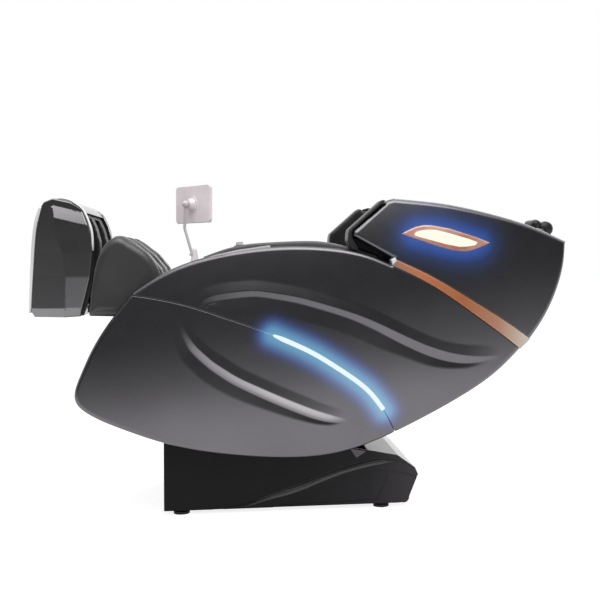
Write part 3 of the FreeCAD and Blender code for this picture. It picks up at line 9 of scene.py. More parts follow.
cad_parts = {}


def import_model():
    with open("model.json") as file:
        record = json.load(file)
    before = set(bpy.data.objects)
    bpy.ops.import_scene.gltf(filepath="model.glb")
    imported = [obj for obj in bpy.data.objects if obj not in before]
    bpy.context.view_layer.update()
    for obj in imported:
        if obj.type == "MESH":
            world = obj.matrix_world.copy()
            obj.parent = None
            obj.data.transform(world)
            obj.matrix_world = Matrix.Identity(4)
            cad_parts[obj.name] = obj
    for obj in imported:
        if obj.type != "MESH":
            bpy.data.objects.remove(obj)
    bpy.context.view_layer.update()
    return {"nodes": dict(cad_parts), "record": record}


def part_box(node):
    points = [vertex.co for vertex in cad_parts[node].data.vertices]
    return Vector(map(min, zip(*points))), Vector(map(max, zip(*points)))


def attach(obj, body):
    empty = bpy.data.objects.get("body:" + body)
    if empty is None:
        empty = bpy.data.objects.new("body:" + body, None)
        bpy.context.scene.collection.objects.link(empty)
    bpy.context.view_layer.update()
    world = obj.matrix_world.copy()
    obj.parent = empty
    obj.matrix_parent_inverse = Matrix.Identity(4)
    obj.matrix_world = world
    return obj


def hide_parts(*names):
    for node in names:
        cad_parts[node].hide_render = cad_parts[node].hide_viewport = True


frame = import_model()
SCENE = bpy.context.scene
SLOTS = {entry["node"]: entry["material_slot"] for entry in frame["record"]["subparts"]}
REPAINTED = {"base_tabs": "tab", "base_rear_cover": "nose", "foot_trim": "sole"}

# Sizes repeated from the part's source, in metres

HALF_WIDTH = 0.370
INNER_WALL = 0.262
CROWN_LONG = 8.0
CROWN_HIGH = 1.6
CROWN_TILT = math.radians(17)
CROWN_HEART = (0.031, 0.555)

# Outlines of the side in millimetres. The tip, the trim and the hood are those of the part's
# source, and the seam, the light strip and the arms lie up to 15 mm above the source's.

TIP_LINE = [(697, 528), (628, 461), (494, 371), (360, 301), (227, 241), (96, 202), (-60, 192),
            (-221, 205), (-404, 237), (-587, 300), (-667, 337), (-718, 384), (-702, 466),
            (-666, 546), (-606, 640), (-553, 708)]
SEAM_LINE = [(-553, 712), (-470, 699), (-373, 677), (-251, 637), (-111, 586), (-52, 560),
             (8, 531), (68, 495), (129, 454), (191, 404), (242, 340), (281, 268)]
STRIP_LINE = SEAM_LINE[4:11]
ARM_LINE = [(-553, 714), (-500, 750), (-443, 783), (-397, 804), (-335, 825), (-243, 846),
            (-151, 859), (-58, 865), (35, 863), (129, 852), (200, 834), (265, 807)]
TRIM_LOW = [(265, 803), (398, 737), (527, 651), (625, 582), (697, 528)]
TRIM_HIGH = [(276, 825), (398, 768), (527, 693), (657, 614), (733, 562)]
HOOD_REAR = [(733, 562), (764, 605), (798, 663), (832, 745), (849, 814), (855, 881)]
HOOD_TOP = [(855, 881), (720, 936), (588, 973), (456, 1000), (340, 1013), (278, 1018)]
HOOD_FRONT = [(278, 1018), (258, 1012), (148, 914), (144, 898), (265, 830), (276, 825)]
LAMP_RIM = [(297, 904), (320, 916), (347, 928), (372, 933), (397, 933), (459, 922), (543, 896),
            (594, 876), (556, 860), (530, 851), (508, 847), (464, 851), (391, 872), (330, 893)]
LAMP_GLASS = [(337, 903), (346, 911), (360, 916), (385, 919), (412, 918), (458, 907), (524, 888),
              (553, 877), (540, 867), (516, 863), (488, 862), (444, 870), (392, 884), (343, 897)]
END_CAP = [(264, 822), (277, 829), (283, 818), (269, 803)]
PAD_TOP = [(-326, 831), (-289, 845), (-217, 866), (-116, 877), (-33, 881), (60, 878), (130, 863)]
PLINTH = [(-324, 824), (-289, 837), (-217, 853), (-119, 867), (-114, 853), (-217, 841),
          (-290, 828)]

# Outlines of the foot rest, the calf rest, the head rolls (with their radius) and the base

FOOT_SIDE = [(-862, 660), (-852, 641), (-761, 639), (-712, 642), (-695, 705), (-681, 764),
             (-673, 844), (-675, 885), (-685, 929), (-705, 983), (-740, 1003), (-791, 1014),
             (-820, 1001), (-836, 974), (-845, 944), (-851, 884), (-857, 804), (-862, 728)]
FOOT_RIM = [(-735, 1004), (-706, 984), (-687, 949), (-676, 913), (-673, 881), (-672, 850)]
FOOT_CREASE = [(-798, 1010), (-789, 949), (-779, 885), (-766, 845), (-755, 768), (-759, 639)]
SOLE_OUT = [(-833, 988), (-843, 960), (-850, 930), (-856, 884), (-861, 804), (-865, 728),
            (-867, 655)]
SOLE_IN = [(-826, 985), (-834, 954), (-841, 924), (-846, 884), (-852, 804), (-857, 728),
           (-861, 655)]
CALF_SIDE = [(-686, 647), (-676, 735), (-658, 824), (-613, 889), (-593, 895), (-560, 880),
             (-507, 845), (-475, 804), (-462, 771), (-470, 700), (-500, 648)]
HEAD_ROLLS = [(845, 948, 18), (882, 932, 28)]
HEAD_STRAP = [(828, 760), (840, 800), (851, 850), (856, 900), (852, 940)]
BASE_SWEEP = [(-206, 18), (-160, 32), (-115, 47), (-20, 75), (75, 111), (170, 139), (225, 150),
              (270, 154), (310, 150)]

# Flutes in the side: the sharp upper edge of the lit wall, strength, and the widths of the lit
# wall, of the wall above it and of the wall below it

FLUTES = [
    [(-352, 655, 0, 12, 20, 30), (-336, 685, 0.25, 15, 26, 36), (-312, 704, 0.55, 19, 30, 40),
     (-263, 717, 0.8, 21, 32, 44), (-213, 723, 0.95, 21, 32, 46), (-164, 725, 1, 20, 32, 48),
     (-114, 719, 1, 20, 32, 48), (-39, 706, 1, 20, 32, 48), (36, 686, 1, 20, 32, 48),
     (111, 663, 1, 20, 32, 48), (187, 635, 1, 22, 32, 48), (265, 599, 1, 25, 32, 44),
     (343, 562, 1, 27, 32, 34), (423, 531, 1, 28, 32, 28), (477, 517, 1, 27, 34, 20),
     (531, 509, 0.85, 22, 36, 14), (586, 507, 0.4, 12, 34, 10), (628, 509, 0, 8, 20, 10)],
    [(-388, 632, 0, 12, 12, 18), (-379, 600, 0.35, 16, 16, 26), (-366, 577, 0.65, 19, 20, 30),
     (-355, 561, 0.8, 22, 22, 34), (-318, 524, 0.95, 24, 26, 38), (-300, 508, 1, 24, 28, 40),
     (-263, 482, 1, 25, 30, 40), (-227, 459, 1, 25, 30, 38), (-171, 431, 1, 26, 30, 35),
     (-115, 405, 1, 27, 30, 30), (-59, 380, 1, 27, 30, 26), (-2, 356, 1, 27, 29, 20),
     (55, 335, 0.9, 25, 27, 14), (94, 323, 0.6, 18, 25, 10), (125, 314, 0, 8, 18, 8)],
]
WALL_RISE = 0.13
BAND_SLOPE = 0.36
BEND_CREST = 0.004
BEND_EDGE = 0.0016
BEND_WALL = 0.003
BEND_FOOT = 0.005
FLUTE_MARGIN = 0.008
FLUTE_ROW_STEP = 0.004

# Spacings, gaps and rims of the moulded panels, in metres

LINE_STEP = 0.006
FINE_STEP = 0.005
WIDE_STEP = 0.008
EDGE_ROWS = (0.0006, 0.0016, 0.0032, 0.0055, 0.0085, 0.0120, 0.0150, 0.0200)
FLUTE_ROW_GAP = 0.0225
STEEP_EDGE = 0.0004
SLOPE_REACH = 0.0002
SHELL_RIM = 0.014
SEAM_RIM = 0.0016
SEAM_GAP = 0.001
TRIM_GAP = 0.0008
TRIM_WALL = 0.31
PLINTH_WALL = 0.29

# Reach and falloff of the light on the shells: the strip's and the lamp's

STRIP_GLOW = (0.040, 2.2)
LAMP_GLOW = (0.062, 1.7)
SKIN_Y = 0.30
GLOW_SEEN = 0.04

# Distances of the lower pieces' sides from the middle plane, and of their flat inner faces

FOOT_Y = 0.2540
FOOT_WALL = 0.2345
CALF_Y = 0.2490
CALF_WALL = 0.2385
RIDGE_Y = 0.2560
RIDGE_WALL = 0.2485
PAD_INNER = 0.268

# The foot rest's facets: slopes in front of and behind the crease, of the facet that leans back
# above and of the bevels below, and where these begin

FOOT_RELIEF = 0.5
FRONT_SLOPE = 0.03
REAR_SLOPE = 0.05
LEAN_SLOPE = 0.305
LEAN_START = (-0.789, 0.951)
LEAN_TILT = 0.24
LEAN_HIGH = 0.042
LOW_SLOPE, LOW_Z = 0.125, 0.766
HEM_SLOPE, HEM_Z = 0.75, 0.667

# Soft parts: node, body, slot, voxel size, smoothing rounds, swelling and filling

SOFT_GOODS = [
    ("seat_cushion", "chair", "leather", 0.006, 6, 0.0005, 0.7),
    ("back_cushion", "chair", "leather", 0.006, 6, 0.0005, 0.7),
    ("head_pillow", "chair", "leather", 0.005, 6, 0.0008, 0.6),
    ("arm_liner_left", "chair", "leather", 0.006, 4, 0.0004, 0.7),
    ("arm_liner_right", "chair", "leather", 0.006, 4, 0.0004, 0.7),
    ("hood_liner_left", "chair", "leather", 0.005, 5, 0.0004, 0.7),
    ("hood_liner_right", "chair", "leather", 0.005, 5, 0.0004, 0.7),
    ("calf_pad", "leg", "calf_leather", 0.006, 6, 0.0006, 0.8),
    ("foot_liner", "foot", "leather", 0.006, 5, 0.0004, 0.7),
]
WELD_GAP = 0.00002

# Sockets of the Mix node for colours, and settings of the triangulation

MIX_SHARE, MIX_FIRST, MIX_SECOND, MIX_RESULT = 0, 6, 7, 2
CDT_INSIDE, CDT_MERGE = 1, 1e-6


# Lines in the side view

def smooth_line(points, step=LINE_STEP):
    # Smooth curve through the points, as evenly spaced positions in metres.
    p = np.array(points, float) / 1000
    gaps = np.linalg.norm(np.diff(p[:, :2], axis=0), axis=1)
    t = np.concatenate([[0], np.cumsum(gaps)])
    n = len(p)
    left = np.eye(n)
    right = np.zeros(p.shape)
    for k in range(1, n - 1):
        left[k, k - 1:k + 2] = gaps[k - 1], 2 * (gaps[k - 1] + gaps[k]), gaps[k]
        right[k] = 6 * ((p[k + 1] - p[k]) / gaps[k] - (p[k] - p[k - 1]) / gaps[k - 1])
    bend = np.linalg.solve(left, right)
    s = np.linspace(0, t[-1], max(2, int(t[-1] / step) + 1))
    k = np.clip(np.searchsorted(t, s, side="right") - 1, 0, n - 2)
    h = gaps[k][:, None]
    u = (s - t[k])[:, None]
    v = h - u
    cubic = (bend[k] * v ** 3 + bend[k + 1] * u ** 3) / (6 * h)
    return cubic + (p[k] / h - bend[k] * h / 6) * v + (p[k + 1] / h - bend[k + 1] * h / 6) * u


def straight_line(points, step=LINE_STEP):
    # Straight runs between the points, as positions in metres.
    p = np.array(points, float) / 1000
    parts = [p[:1]]
    for a, b in zip(p, p[1:]):
        count = max(1, int(np.linalg.norm(b - a) / step))
        parts.append(a + (b - a) * (np.arange(1, count + 1) / count)[:, None])
    return np.vstack(parts)


def straight_loop(points, step=LINE_STEP):
    return straight_line(points + points[:1], step)[:-1]


def closed(loop):
    return np.vstack([loop, loop[:1]])


def up_of(line):
    # Unit vectors to the left of a line's run.
    run = np.gradient(line, axis=0)
    run /= np.linalg.norm(run, axis=1)[:, None]
    return np.stack([-run[:, 1], run[:, 0]], axis=1)


def out_of(loop):
    # Unit vectors out of a loop that runs anticlockwise.
    run = np.roll(loop, -1, axis=0) - np.roll(loop, 1, axis=0)
    run /= np.linalg.norm(run, axis=1)[:, None]
    return np.stack([run[:, 1], -run[:, 0]], axis=1)


def sideways(line, step):
    return line + up_of(line) * step


def between(first, second):
    # Loop along one line and back along another.
    return np.vstack([first, second[::-1]])


def ribbon(line, half):
    # Loop around a line, with half of its width given at each point.
    step = half[:, None] * up_of(line)
    return between(line - step, line + step)


def turned_right(loop):
    area = np.sum(loop[:, 0] * np.roll(loop[:, 1], -1) - np.roll(loop[:, 0], -1) * loop[:, 1])
    return loop if area > 0 else loop[::-1]


def near_line(x, z, line):
    # Distance to a line, the place along it, and whether the point is above it.
    p = np.stack([x, z], axis=1)
    best = np.full(len(p), 1e9)
    along = np.zeros(len(p))
    above = np.ones(len(p))
    for k in range(len(line) - 1):
        a = line[k]
        d = line[k + 1] - a
        t = np.clip(((p - a) @ d) / (d @ d), 0, 1)
        away = p - (a + t[:, None] * d)
        gap = np.linalg.norm(away, axis=1)
        better = gap < best
        best = np.where(better, gap, best)
        along = np.where(better, k + t, along)
        above = np.where(better, np.sign(away @ np.array([-d[1], d[0]])), above)
    return best, along, above


def inside_loop(x, z, loop):
    inside = np.zeros(len(x), bool)
    for (xi, zi), (xj, zj) in zip(loop, np.roll(loop, 1, axis=0)):
        crosses = (zi > z) != (zj > z)
        slope = (xj - xi) / (zj - zi) if zj != zi else 0
        inside ^= crosses & (x < xi + slope * (z - zi))
    return inside


# The side's form: its crown, rims and flutes

def crown_height(x, z):
    # Distance of the crowned side from the middle plane of the chair.
    dx = x - CROWN_HEART[0]
    dz = z - CROWN_HEART[1]
    u = dx * math.cos(CROWN_TILT) + dz * math.sin(CROWN_TILT)
    v = -dx * math.sin(CROWN_TILT) + dz * math.cos(CROWN_TILT)
    ring = CROWN_LONG - CROWN_HIGH + np.sqrt(CROWN_HIGH ** 2 - v ** 2)
    return np.sqrt(ring ** 2 - u ** 2) - (CROWN_LONG - HALF_WIDTH)


def ramp(s, start, radius):
    # Straight rise that begins at start with a small round bend.
    t = s - start
    bend = (t + radius) ** 2 / (4 * radius)
    return np.where(t > radius, t, np.where(t < -radius, 0, bend))


def round_drop(gap, radius):
    # How far a rounded rim falls away, at a distance from its edge.
    inside = np.clip(radius - gap, 0, radius * 0.9995)
    return radius - np.sqrt(radius ** 2 - inside ** 2)


FLUTE_LINES = [smooth_line(flute, WIDE_STEP) for flute in FLUTES]


def at_flute(x, z, line):
    # Distance to a flute's lit edge, side, place along it, strength and the walls' widths.
    gap, along, above = near_line(x, z, line[:, :2])
    spot = np.arange(len(line))
    power, band, high, low = (np.interp(along, spot, line[:, k]) for k in (2, 3, 4, 5))
    return gap, above, along, np.clip(power * 1000, 0, 1), (band, high, low)


def flute_height(x, z):
    # How far the side stands out or in along the flutes, from the walls' slopes.
    height = np.zeros(len(x))
    for line in FLUTE_LINES:
        gap, above, along, power, (band, high, low) = at_flute(x, z, line)
        s = gap * above
        crest = WALL_RISE * high
        fall = (BAND_SLOPE * band - crest) / low
        shape = -fall * ramp(s, -band - low, BEND_FOOT)
        shape += (fall + BAND_SLOPE) * ramp(s, -band, BEND_WALL)
        shape -= (BAND_SLOPE + WALL_RISE) * ramp(s, 0, BEND_EDGE)
        shape += WALL_RISE * ramp(s, high, BEND_CREST)
        height += power * shape
    return height


def flute_rows():
    # Rows of points before and after each of the flutes' bends, so that the mesh follows them.
    found = []
    for flute in FLUTES:
        line = smooth_line(flute, FLUTE_ROW_STEP)
        up = up_of(line[:, :2])
        band, high, low = line[:, 3], line[:, 4], line[:, 5]
        for step in (high + 0.005, high - 0.004, high * 0.5, 0.0025 + 0 * band, 0 * band,
                     -0.0025 + 0 * band, -band * 0.5, 0.0035 - band, -0.0035 - band,
                     -band - low * 0.5, 0.005 - band - low, -0.005 - band - low):
            found.append(line[:, :2] + up * step[:, None])
    return np.vstack(found)


def in_flutes(x, z):
    close = np.zeros(len(x), bool)
    for line in FLUTE_LINES:
        gap, above, along, power, (band, high, low) = at_flute(x, z, line)
        close |= np.where(above > 0, gap < high + FLUTE_MARGIN, gap < band + low + FLUTE_MARGIN)
    return close


def side_height(x, z):
    return crown_height(x, z) + flute_height(x, z)


def level(y):
    return lambda x, z: np.full(len(x), y)


# Meshes

def new_mesh(name, verts, faces, normals=None):
    mesh = bpy.data.meshes.new(name)
    mesh.from_pydata([tuple(v) for v in verts], [], [tuple(f) for f in faces])
    mesh.validate()
    mesh.polygons.foreach_set("use_smooth", [True] * len(mesh.polygons))
    if normals is not None:
        mesh.normals_split_custom_set_from_vertices([tuple(n) for n in normals])
    piece = bpy.data.objects.new(name, mesh)
    SCENE.collection.objects.link(piece)
    return piece


def points_of(mesh):
    co = np.zeros(len(mesh.vertices) * 3)
    mesh.vertices.foreach_get("co", co)
    return co.reshape(-1, 3)


def give(piece, body, paint, slot, *nodes):
    # Material and body of a piece, and the nodes that it stands for, which it hides. The slot is
    # not used.
    piece.data.materials.append(MAT[paint])
    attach(piece, body)
    if nodes:
        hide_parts(*nodes)


def panel_points(loop, gap_of, spacing, fine, extra):
    # Points inside an outline: rows close to its edge, then an even field. The field is twice
    # as dense where fine says so, and has the extra points in place of its own in the flutes.
    rows = []
    out = out_of(loop)
    for row in EDGE_ROWS:
        ring = loop - out * row
        keep = inside_loop(ring[:, 0], ring[:, 1], loop)
        keep &= np.abs(gap_of(ring[:, 0], ring[:, 1]) - row) < row * 0.08
        rows.append(ring[keep])
    low = loop.min(axis=0)
    high = loop.max(axis=0)

    def even(step):
        xs = np.arange(low[0], high[0], step)
        zs = np.arange(low[1], high[1], step * 0.87)
        x, z = np.meshgrid(xs, zs)
        x = (x + (np.arange(len(zs)) % 2)[:, None] * step / 2).ravel()
        z = z.ravel()
        keep = inside_loop(x, z, loop)
        x, z = x[keep], z[keep]
        keep = gap_of(x, z) > EDGE_ROWS[-1] + step * 0.5
        return np.stack([x, z], axis=1)[keep]

    field = even(spacing)
    if fine is not None:
        dense = even(spacing / 2)
        field = np.vstack([field[~fine(field[:, 0], field[:, 1])],
                           dense[fine(dense[:, 0], dense[:, 1])]])
    if extra is not None:
        field = field[~in_flutes(field[:, 0], field[:, 1])]
        extra = extra[inside_loop(extra[:, 0], extra[:, 1], loop)]
        extra = extra[gap_of(extra[:, 0], extra[:, 1]) > FLUTE_ROW_GAP]
        field = np.vstack([field, extra])
    return np.vstack(rows + [field])


def panel(name, loop, height, rims, wall, spacing=0.009, fine=None, extra=None, turn=1.0):
    # Moulded panel on the near side: skin, rounded rims, edge walls and a flat inner face. The
    # skin's normals come from its slopes, times turn.
    loop = turned_right(loop)
    count = len(loop)
    segments = closed(loop)

    def gap_of(x, z):
        return near_line(x, z, segments)[0]

    def outer(x, z):
        drop = np.zeros(len(x))
        for line, radius in rims:
            drop = np.maximum(drop, round_drop(near_line(x, z, line)[0], radius))
        return height(x, z) - drop

    def triangles(points):
        ring = [list(range(count))]
        return delaunay_2d_cdt([Vector(p) for p in points], [], ring, CDT_INSIDE, CDT_MERGE)

    def with_y(line, y):
        return np.stack([line[:, 0], y, line[:, 1]], axis=1)

    inner = panel_points(loop, gap_of, spacing, fine, extra)
    skin = triangles(np.vstack([loop, inner]))
    spots = np.array([tuple(v) for v in skin[0]])
    faces = [tuple(f) for f in skin[2]]
    x, z = spots[:, 0], spots[:, 1]
    e = SLOPE_REACH
    slope_x = (outer(x + e, z) - outer(x - e, z)) / (2 * e)
    slope_z = (outer(x, z + e) - outer(x, z - e)) / (2 * e)
    normals = np.stack([-slope_x * turn, -np.ones(len(x)), -slope_z * turn], axis=1)
    out = out_of(loop)
    steep = gap_of(x, z) < STEEP_EDGE
    away = spots[steep][:, None, :] - loop[None, :, :]
    nearest = np.argmin((away ** 2).sum(axis=2), axis=1)
    normals[steep] = with_y(out[nearest], np.full(len(nearest), -0.25))
    normals /= np.linalg.norm(normals, axis=1)[:, None]
    top = with_y(loop, -outer(loop[:, 0], loop[:, 1]))
    low = with_y(loop, np.full(count, -wall))
    edge_normals = with_y(out, np.zeros(count))
    back_normals = np.tile([0.0, 1.0, 0.0], (count, 1))
    verts = np.vstack([with_y(spots, -outer(x, z)), top, low, low])
    base = len(spots)
    for k in range(count):
        j = (k + 1) % count
        faces.append((base + j, base + k, base + count + k, base + count + j))
    back = triangles(loop)
    order = [base + 2 * count + origin[0] for origin in back[3]]
    faces += [tuple(order[v] for v in reversed(face)) for face in back[2]]
    return new_mesh(name, verts, faces,
                    np.vstack([normals, edge_normals, edge_normals, back_normals]))


def mirrored(piece, name):
    # The same piece on the far side of the chair.
    mesh = piece.data
    faces = [tuple(reversed(p.vertices)) for p in mesh.polygons]
    normals = np.zeros(len(mesh.loops) * 3)
    mesh.corner_normals.foreach_get("vector", normals)
    normals = normals.reshape(-1, 3)
    per_vertex = np.zeros((len(mesh.vertices), 3))
    for polygon in mesh.polygons:
        for loop in polygon.loop_indices:
            per_vertex[mesh.loops[loop].vertex_index] = normals[loop]
    return new_mesh(name, points_of(mesh) * (1, -1, 1), faces, per_vertex * (1, -1, 1))


def inlay(name, loop, lift, rim, paint, slot, node=None, body="chair", height=crown_height,
          wall=TRIM_WALL, spacing=0.006, turn=1.0):
    # A slim moulded piece on the left side, and its twin on the right.
    left = panel(name + "_left", loop, lambda x, z: height(x, z) + lift,
                 [(closed(loop), rim)], wall, spacing=spacing, turn=turn)
    right = mirrored(left, name + "_right")
    for piece, side in ((left, "_left"), (right, "_right")):
        give(piece, body, paint, slot, *([] if node is None else [node + side]))
    return left, right


def circle(count):
    turn = np.linspace(0, 2 * math.pi, count, endpoint=False)
    return np.cos(turn), np.sin(turn)


def squared(values, power):
    return np.sign(values) * np.abs(values) ** power


def tube(name, rings, reverse=False):
    # Closed tube through rings of equally many points, with flat ends.
    count = len(rings[0])
    faces = []
    for k in range(len(rings) - 1):
        a, b = k * count, (k + 1) * count
        for j in range(count):
            i = (j + 1) % count
            faces.append((a + j, b + j, b + i, a + i) if reverse
                         else (a + j, a + i, b + i, b + j))
    first = range(count)
    last = range((len(rings) - 1) * count, len(rings) * count)
    ends = (first, last[::-1]) if reverse else (first[::-1], last)
    return new_mesh(name, np.vstack(rings), faces + [tuple(end) for end in ends])


# Materials, all made from nodes

def shader_of(made):
    return made.node_tree.nodes["Principled BSDF"]


def material(name, base, rough, metallic=0.0, coat=0.0, spec=0.5, sheen=0.0):
    made = bpy.data.materials.new(name)
    made.use_nodes = True
    settings = {"Base Color": (*base, 1), "Roughness": rough, "Metallic": metallic,
                "Coat Weight": coat, "Coat Roughness": 0.08, "Specular IOR Level": spec,
                "Sheen Weight": sheen}
    for socket, value in settings.items():
        shader_of(made).inputs[socket].default_value = value
    return made


def object_noise(tree, scale, detail=3.0, stretch=(1, 1, 1)):
    where = tree.nodes.new("ShaderNodeTexCoord")
    mapping = tree.nodes.new("ShaderNodeMapping")
    mapping.inputs["Scale"].default_value = stretch
    noise = tree.nodes.new("ShaderNodeTexNoise")
    noise.inputs["Scale"].default_value = scale
    noise.inputs["Detail"].default_value = detail
    tree.links.new(where.outputs["Object"], mapping.inputs["Vector"])
    tree.links.new(mapping.outputs["Vector"], noise.inputs["Vector"])
    return noise.outputs["Fac"]


def colour_steps(tree, source, steps):
    # Colours that follow a value from 0 to 1, from pairs of place and colour.
    ramp_node = tree.nodes.new("ShaderNodeValToRGB")
    ends = ramp_node.color_ramp.elements
    ends[0].position = steps[0][0]
    ends[1].position = steps[-1][0]
    ends[0].color = (*steps[0][1], 1)
    ends[1].color = (*steps[-1][1], 1)
    for place, colour in steps[1:-1]:
        ends.new(place).color = (*colour, 1)
    tree.links.new(source, ramp_node.inputs["Fac"])
    return ramp_node.outputs["Color"]


def ramped(tree, source, low, high, start, end, curve="SMOOTHSTEP"):
    # Value that goes from start to end while the source goes from low to high.
    spread = tree.nodes.new("ShaderNodeMapRange")
    spread.interpolation_type = curve
    spread.inputs["From Min"].default_value = low
    spread.inputs["From Max"].default_value = high
    spread.inputs["To Min"].default_value = start
    spread.inputs["To Max"].default_value = end
    tree.links.new(source, spread.inputs["Value"])
    return spread.outputs["Result"]


def place_of(tree, space="Object"):
    # Outputs X, Y and Z of the place in the piece's space, or of the world's direction.
    where = tree.nodes.new("ShaderNodeTexCoord")
    split = tree.nodes.new("ShaderNodeSeparateXYZ")
    tree.links.new(where.outputs[space], split.inputs["Vector"])
    return split.outputs


def calculated(tree, operation, first, second):
    both = tree.nodes.new("ShaderNodeMath")
    both.operation = operation
    tree.links.new(first, both.inputs[0])
    tree.links.new(second, both.inputs[1])
    return both.outputs["Value"]


def attribute(tree, name):
    layer = tree.nodes.new("ShaderNodeAttribute")
    layer.attribute_name = name
    return layer.outputs["Fac"]


def vary_colour(made, base, other, scale, low=0.35, high=0.65, stretch=(1, 1, 1)):
    tree = made.node_tree
    noise = object_noise(tree, scale, 4.0, stretch)
    colour = colour_steps(tree, noise, ((low, base), (high, other)))
    tree.links.new(colour, shader_of(made).inputs["Base Color"])
    return colour


def vary_rough(made, low, high, scale):
    tree = made.node_tree
    rough = ramped(tree, object_noise(tree, scale), 0, 1, low, high, "LINEAR")
    tree.links.new(rough, shader_of(made).inputs["Roughness"])


def add_bump(made, source, strength, distance):
    tree = made.node_tree
    bump = tree.nodes.new("ShaderNodeBump")
    bump.inputs["Strength"].default_value = strength
    bump.inputs["Distance"].default_value = distance
    tree.links.new(source, bump.inputs["Height"])
    normal = shader_of(made).inputs["Normal"]
    if normal.links:
        tree.links.new(normal.links[0].from_socket, bump.inputs["Normal"])
    tree.links.new(bump.outputs["Normal"], normal)


def noise_bump(made, scale, detail, strength, distance, stretch=(1, 1, 1)):
    add_bump(made, object_noise(made.node_tree, scale, detail, stretch), strength, distance)


def leather(name, base, other, spec=0.45, sheen=0.08):
    rough = 0.42
    made = material(name, base, rough, spec=spec, sheen=sheen)
    tree = made.node_tree
    vary_colour(made, base, other, 9.0)
    where = tree.nodes.new("ShaderNodeTexCoord")
    cells = tree.nodes.new("ShaderNodeTexVoronoi")
    cells.feature = "DISTANCE_TO_EDGE"
    cells.inputs["Scale"].default_value = 420.0
    tree.links.new(where.outputs["Object"], cells.inputs["Vector"])
    add_bump(made, cells.outputs["Distance"], 0.25, 0.0006)
    noise_bump(made, 26.0, 5.0, 0.18, 0.004)
    vary_rough(made, rough - 0.07, rough + 0.1, 14.0)
    return made


def moulded(name, base, rough, grain=900.0, bump=0.05, coat=0.0):
    made = material(name, base, rough, coat=coat)
    vary_colour(made, base, tuple(min(1.0, c * 1.25) for c in base), 6.0)
    noise_bump(made, grain, 2.0, bump, 0.0005)
    vary_rough(made, rough * 0.9, min(1.0, rough * 1.15), 30.0)
    return made


def metal(name, base, rough):
    made = material(name, base, rough, metallic=1.0)
    vary_colour(made, base, tuple(min(1.0, c * 1.08) for c in base), 12.0)
    noise_bump(made, 300.0, 3.0, 0.06, 0.0004)
    vary_rough(made, rough * 0.85, min(1.0, rough * 1.2), 40.0)
    return made


def piano(name, base, rough):
    # Black gloss lacquer: a mirror of the dark side of the studio, bright only where it turns.
    made = material(name, base, rough, metallic=0.92, coat=0.05)
    vary_colour(made, base, tuple(c * 1.08 for c in base), 5.0)
    noise_bump(made, 90.0, 1.0, 0.02, 0.0006)
    vary_rough(made, rough * 0.9, rough * 1.15, 24.0)
    return made


def lit(name, colour, strength):
    unlit = tuple(c * 0.08 for c in colour)
    made = material(name, unlit, 0.35, spec=0.1)
    tree = made.node_tree
    vary_colour(made, unlit, tuple(c * 1.05 for c in unlit), 20.0)
    glow = ramped(tree, object_noise(tree, 60.0), 0, 1, strength * 0.95, strength * 1.05, "LINEAR")
    tree.links.new(glow, shader_of(made).inputs["Emission Strength"])
    shader_of(made).inputs["Emission Color"].default_value = (*colour, 1)
    return made


def along_x(made, low, high, steps):
    # Colour that changes along the chair, on the shader's base colour.
    tree = made.node_tree
    place = ramped(tree, place_of(tree)["X"], low, high, 0, 1, "LINEAR")
    tree.links.new(colour_steps(tree, place, steps), shader_of(made).inputs["Base Color"])


def colour_mix(tree, blend, first):
    mix = tree.nodes.new("ShaderNodeMix")
    mix.data_type = "RGBA"
    mix.blend_type = blend
    tree.links.new(first, mix.inputs[MIX_FIRST])
    return mix


def shell_paint():
    # Semi-gloss charcoal lacquer with fine flakes, a painted highlight on the lower flute's lit
    # wall, and a painted glow of the blue light that the lit strip and lamp cast.
    made = material("shell_paint", (0.14, 0.135, 0.145), 0.30, metallic=0.97, coat=0.1)
    tree, shader = made.node_tree, shader_of(made)
    body = vary_colour(made, (0.135, 0.130, 0.140), (0.150, 0.145, 0.155), 5.0, 0.3, 0.7)
    # Painted highlight: the base colour turns pale grey on the lit wall of the lower flute
    share = attribute(tree, "satin")
    satin = colour_mix(tree, "MIX", body)
    satin.inputs[MIX_SECOND].default_value = (0.52, 0.50, 0.52, 1)
    tree.links.new(share, satin.inputs[MIX_SHARE])
    tree.links.new(satin.outputs[MIX_RESULT], shader.inputs["Base Color"])
    noise_bump(made, 2600.0, 2.0, 0.04, 0.0002)
    vary_rough(made, 0.28, 0.33, 20.0)
    strip = colour_steps(tree, attribute(tree, "glow"), (
        (0, (0, 0, 0)), (0.06, (0.003, 0.010, 0.040)), (0.18, (0.012, 0.035, 0.13)),
        (0.42, (0.035, 0.11, 0.27)), (0.70, (0.07, 0.21, 0.40)), (1.0, (0.10, 0.31, 0.47))))
    lamp = colour_steps(tree, attribute(tree, "lamp_glow"), (
        (0, (0, 0, 0)), (0.15, (0.002, 0.006, 0.018)), (0.45, (0.005, 0.022, 0.09)),
        (0.75, (0.010, 0.055, 0.26)), (1.0, (0.025, 0.085, 0.36))))
    both = colour_mix(tree, "ADD", strip)
    both.inputs[MIX_SHARE].default_value = 1.0
    tree.links.new(lamp, both.inputs[MIX_SECOND])
    tree.links.new(both.outputs[MIX_RESULT], shader.inputs["Emission Color"])
    shader.inputs["Emission Strength"].default_value = 1.0
    return made


def base_paint():
    made = material("base_gloss", (0.004, 0.004, 0.004), 0.34, spec=0.16)
    # Painted reflection: the black gloss is made lighter towards the rear, where its top reflects
    # the white studio
    along_x(made, -0.25, 0.36, ((0, (0.003, 0.003, 0.0035)), (0.35, (0.006, 0.0055, 0.0065)),
                               (0.75, (0.020, 0.018, 0.020)), (1, (0.055, 0.050, 0.053))))
    noise_bump(made, 900.0, 2.0, 0.04, 0.0004)
    vary_rough(made, 0.30, 0.38, 20.0)
    return made


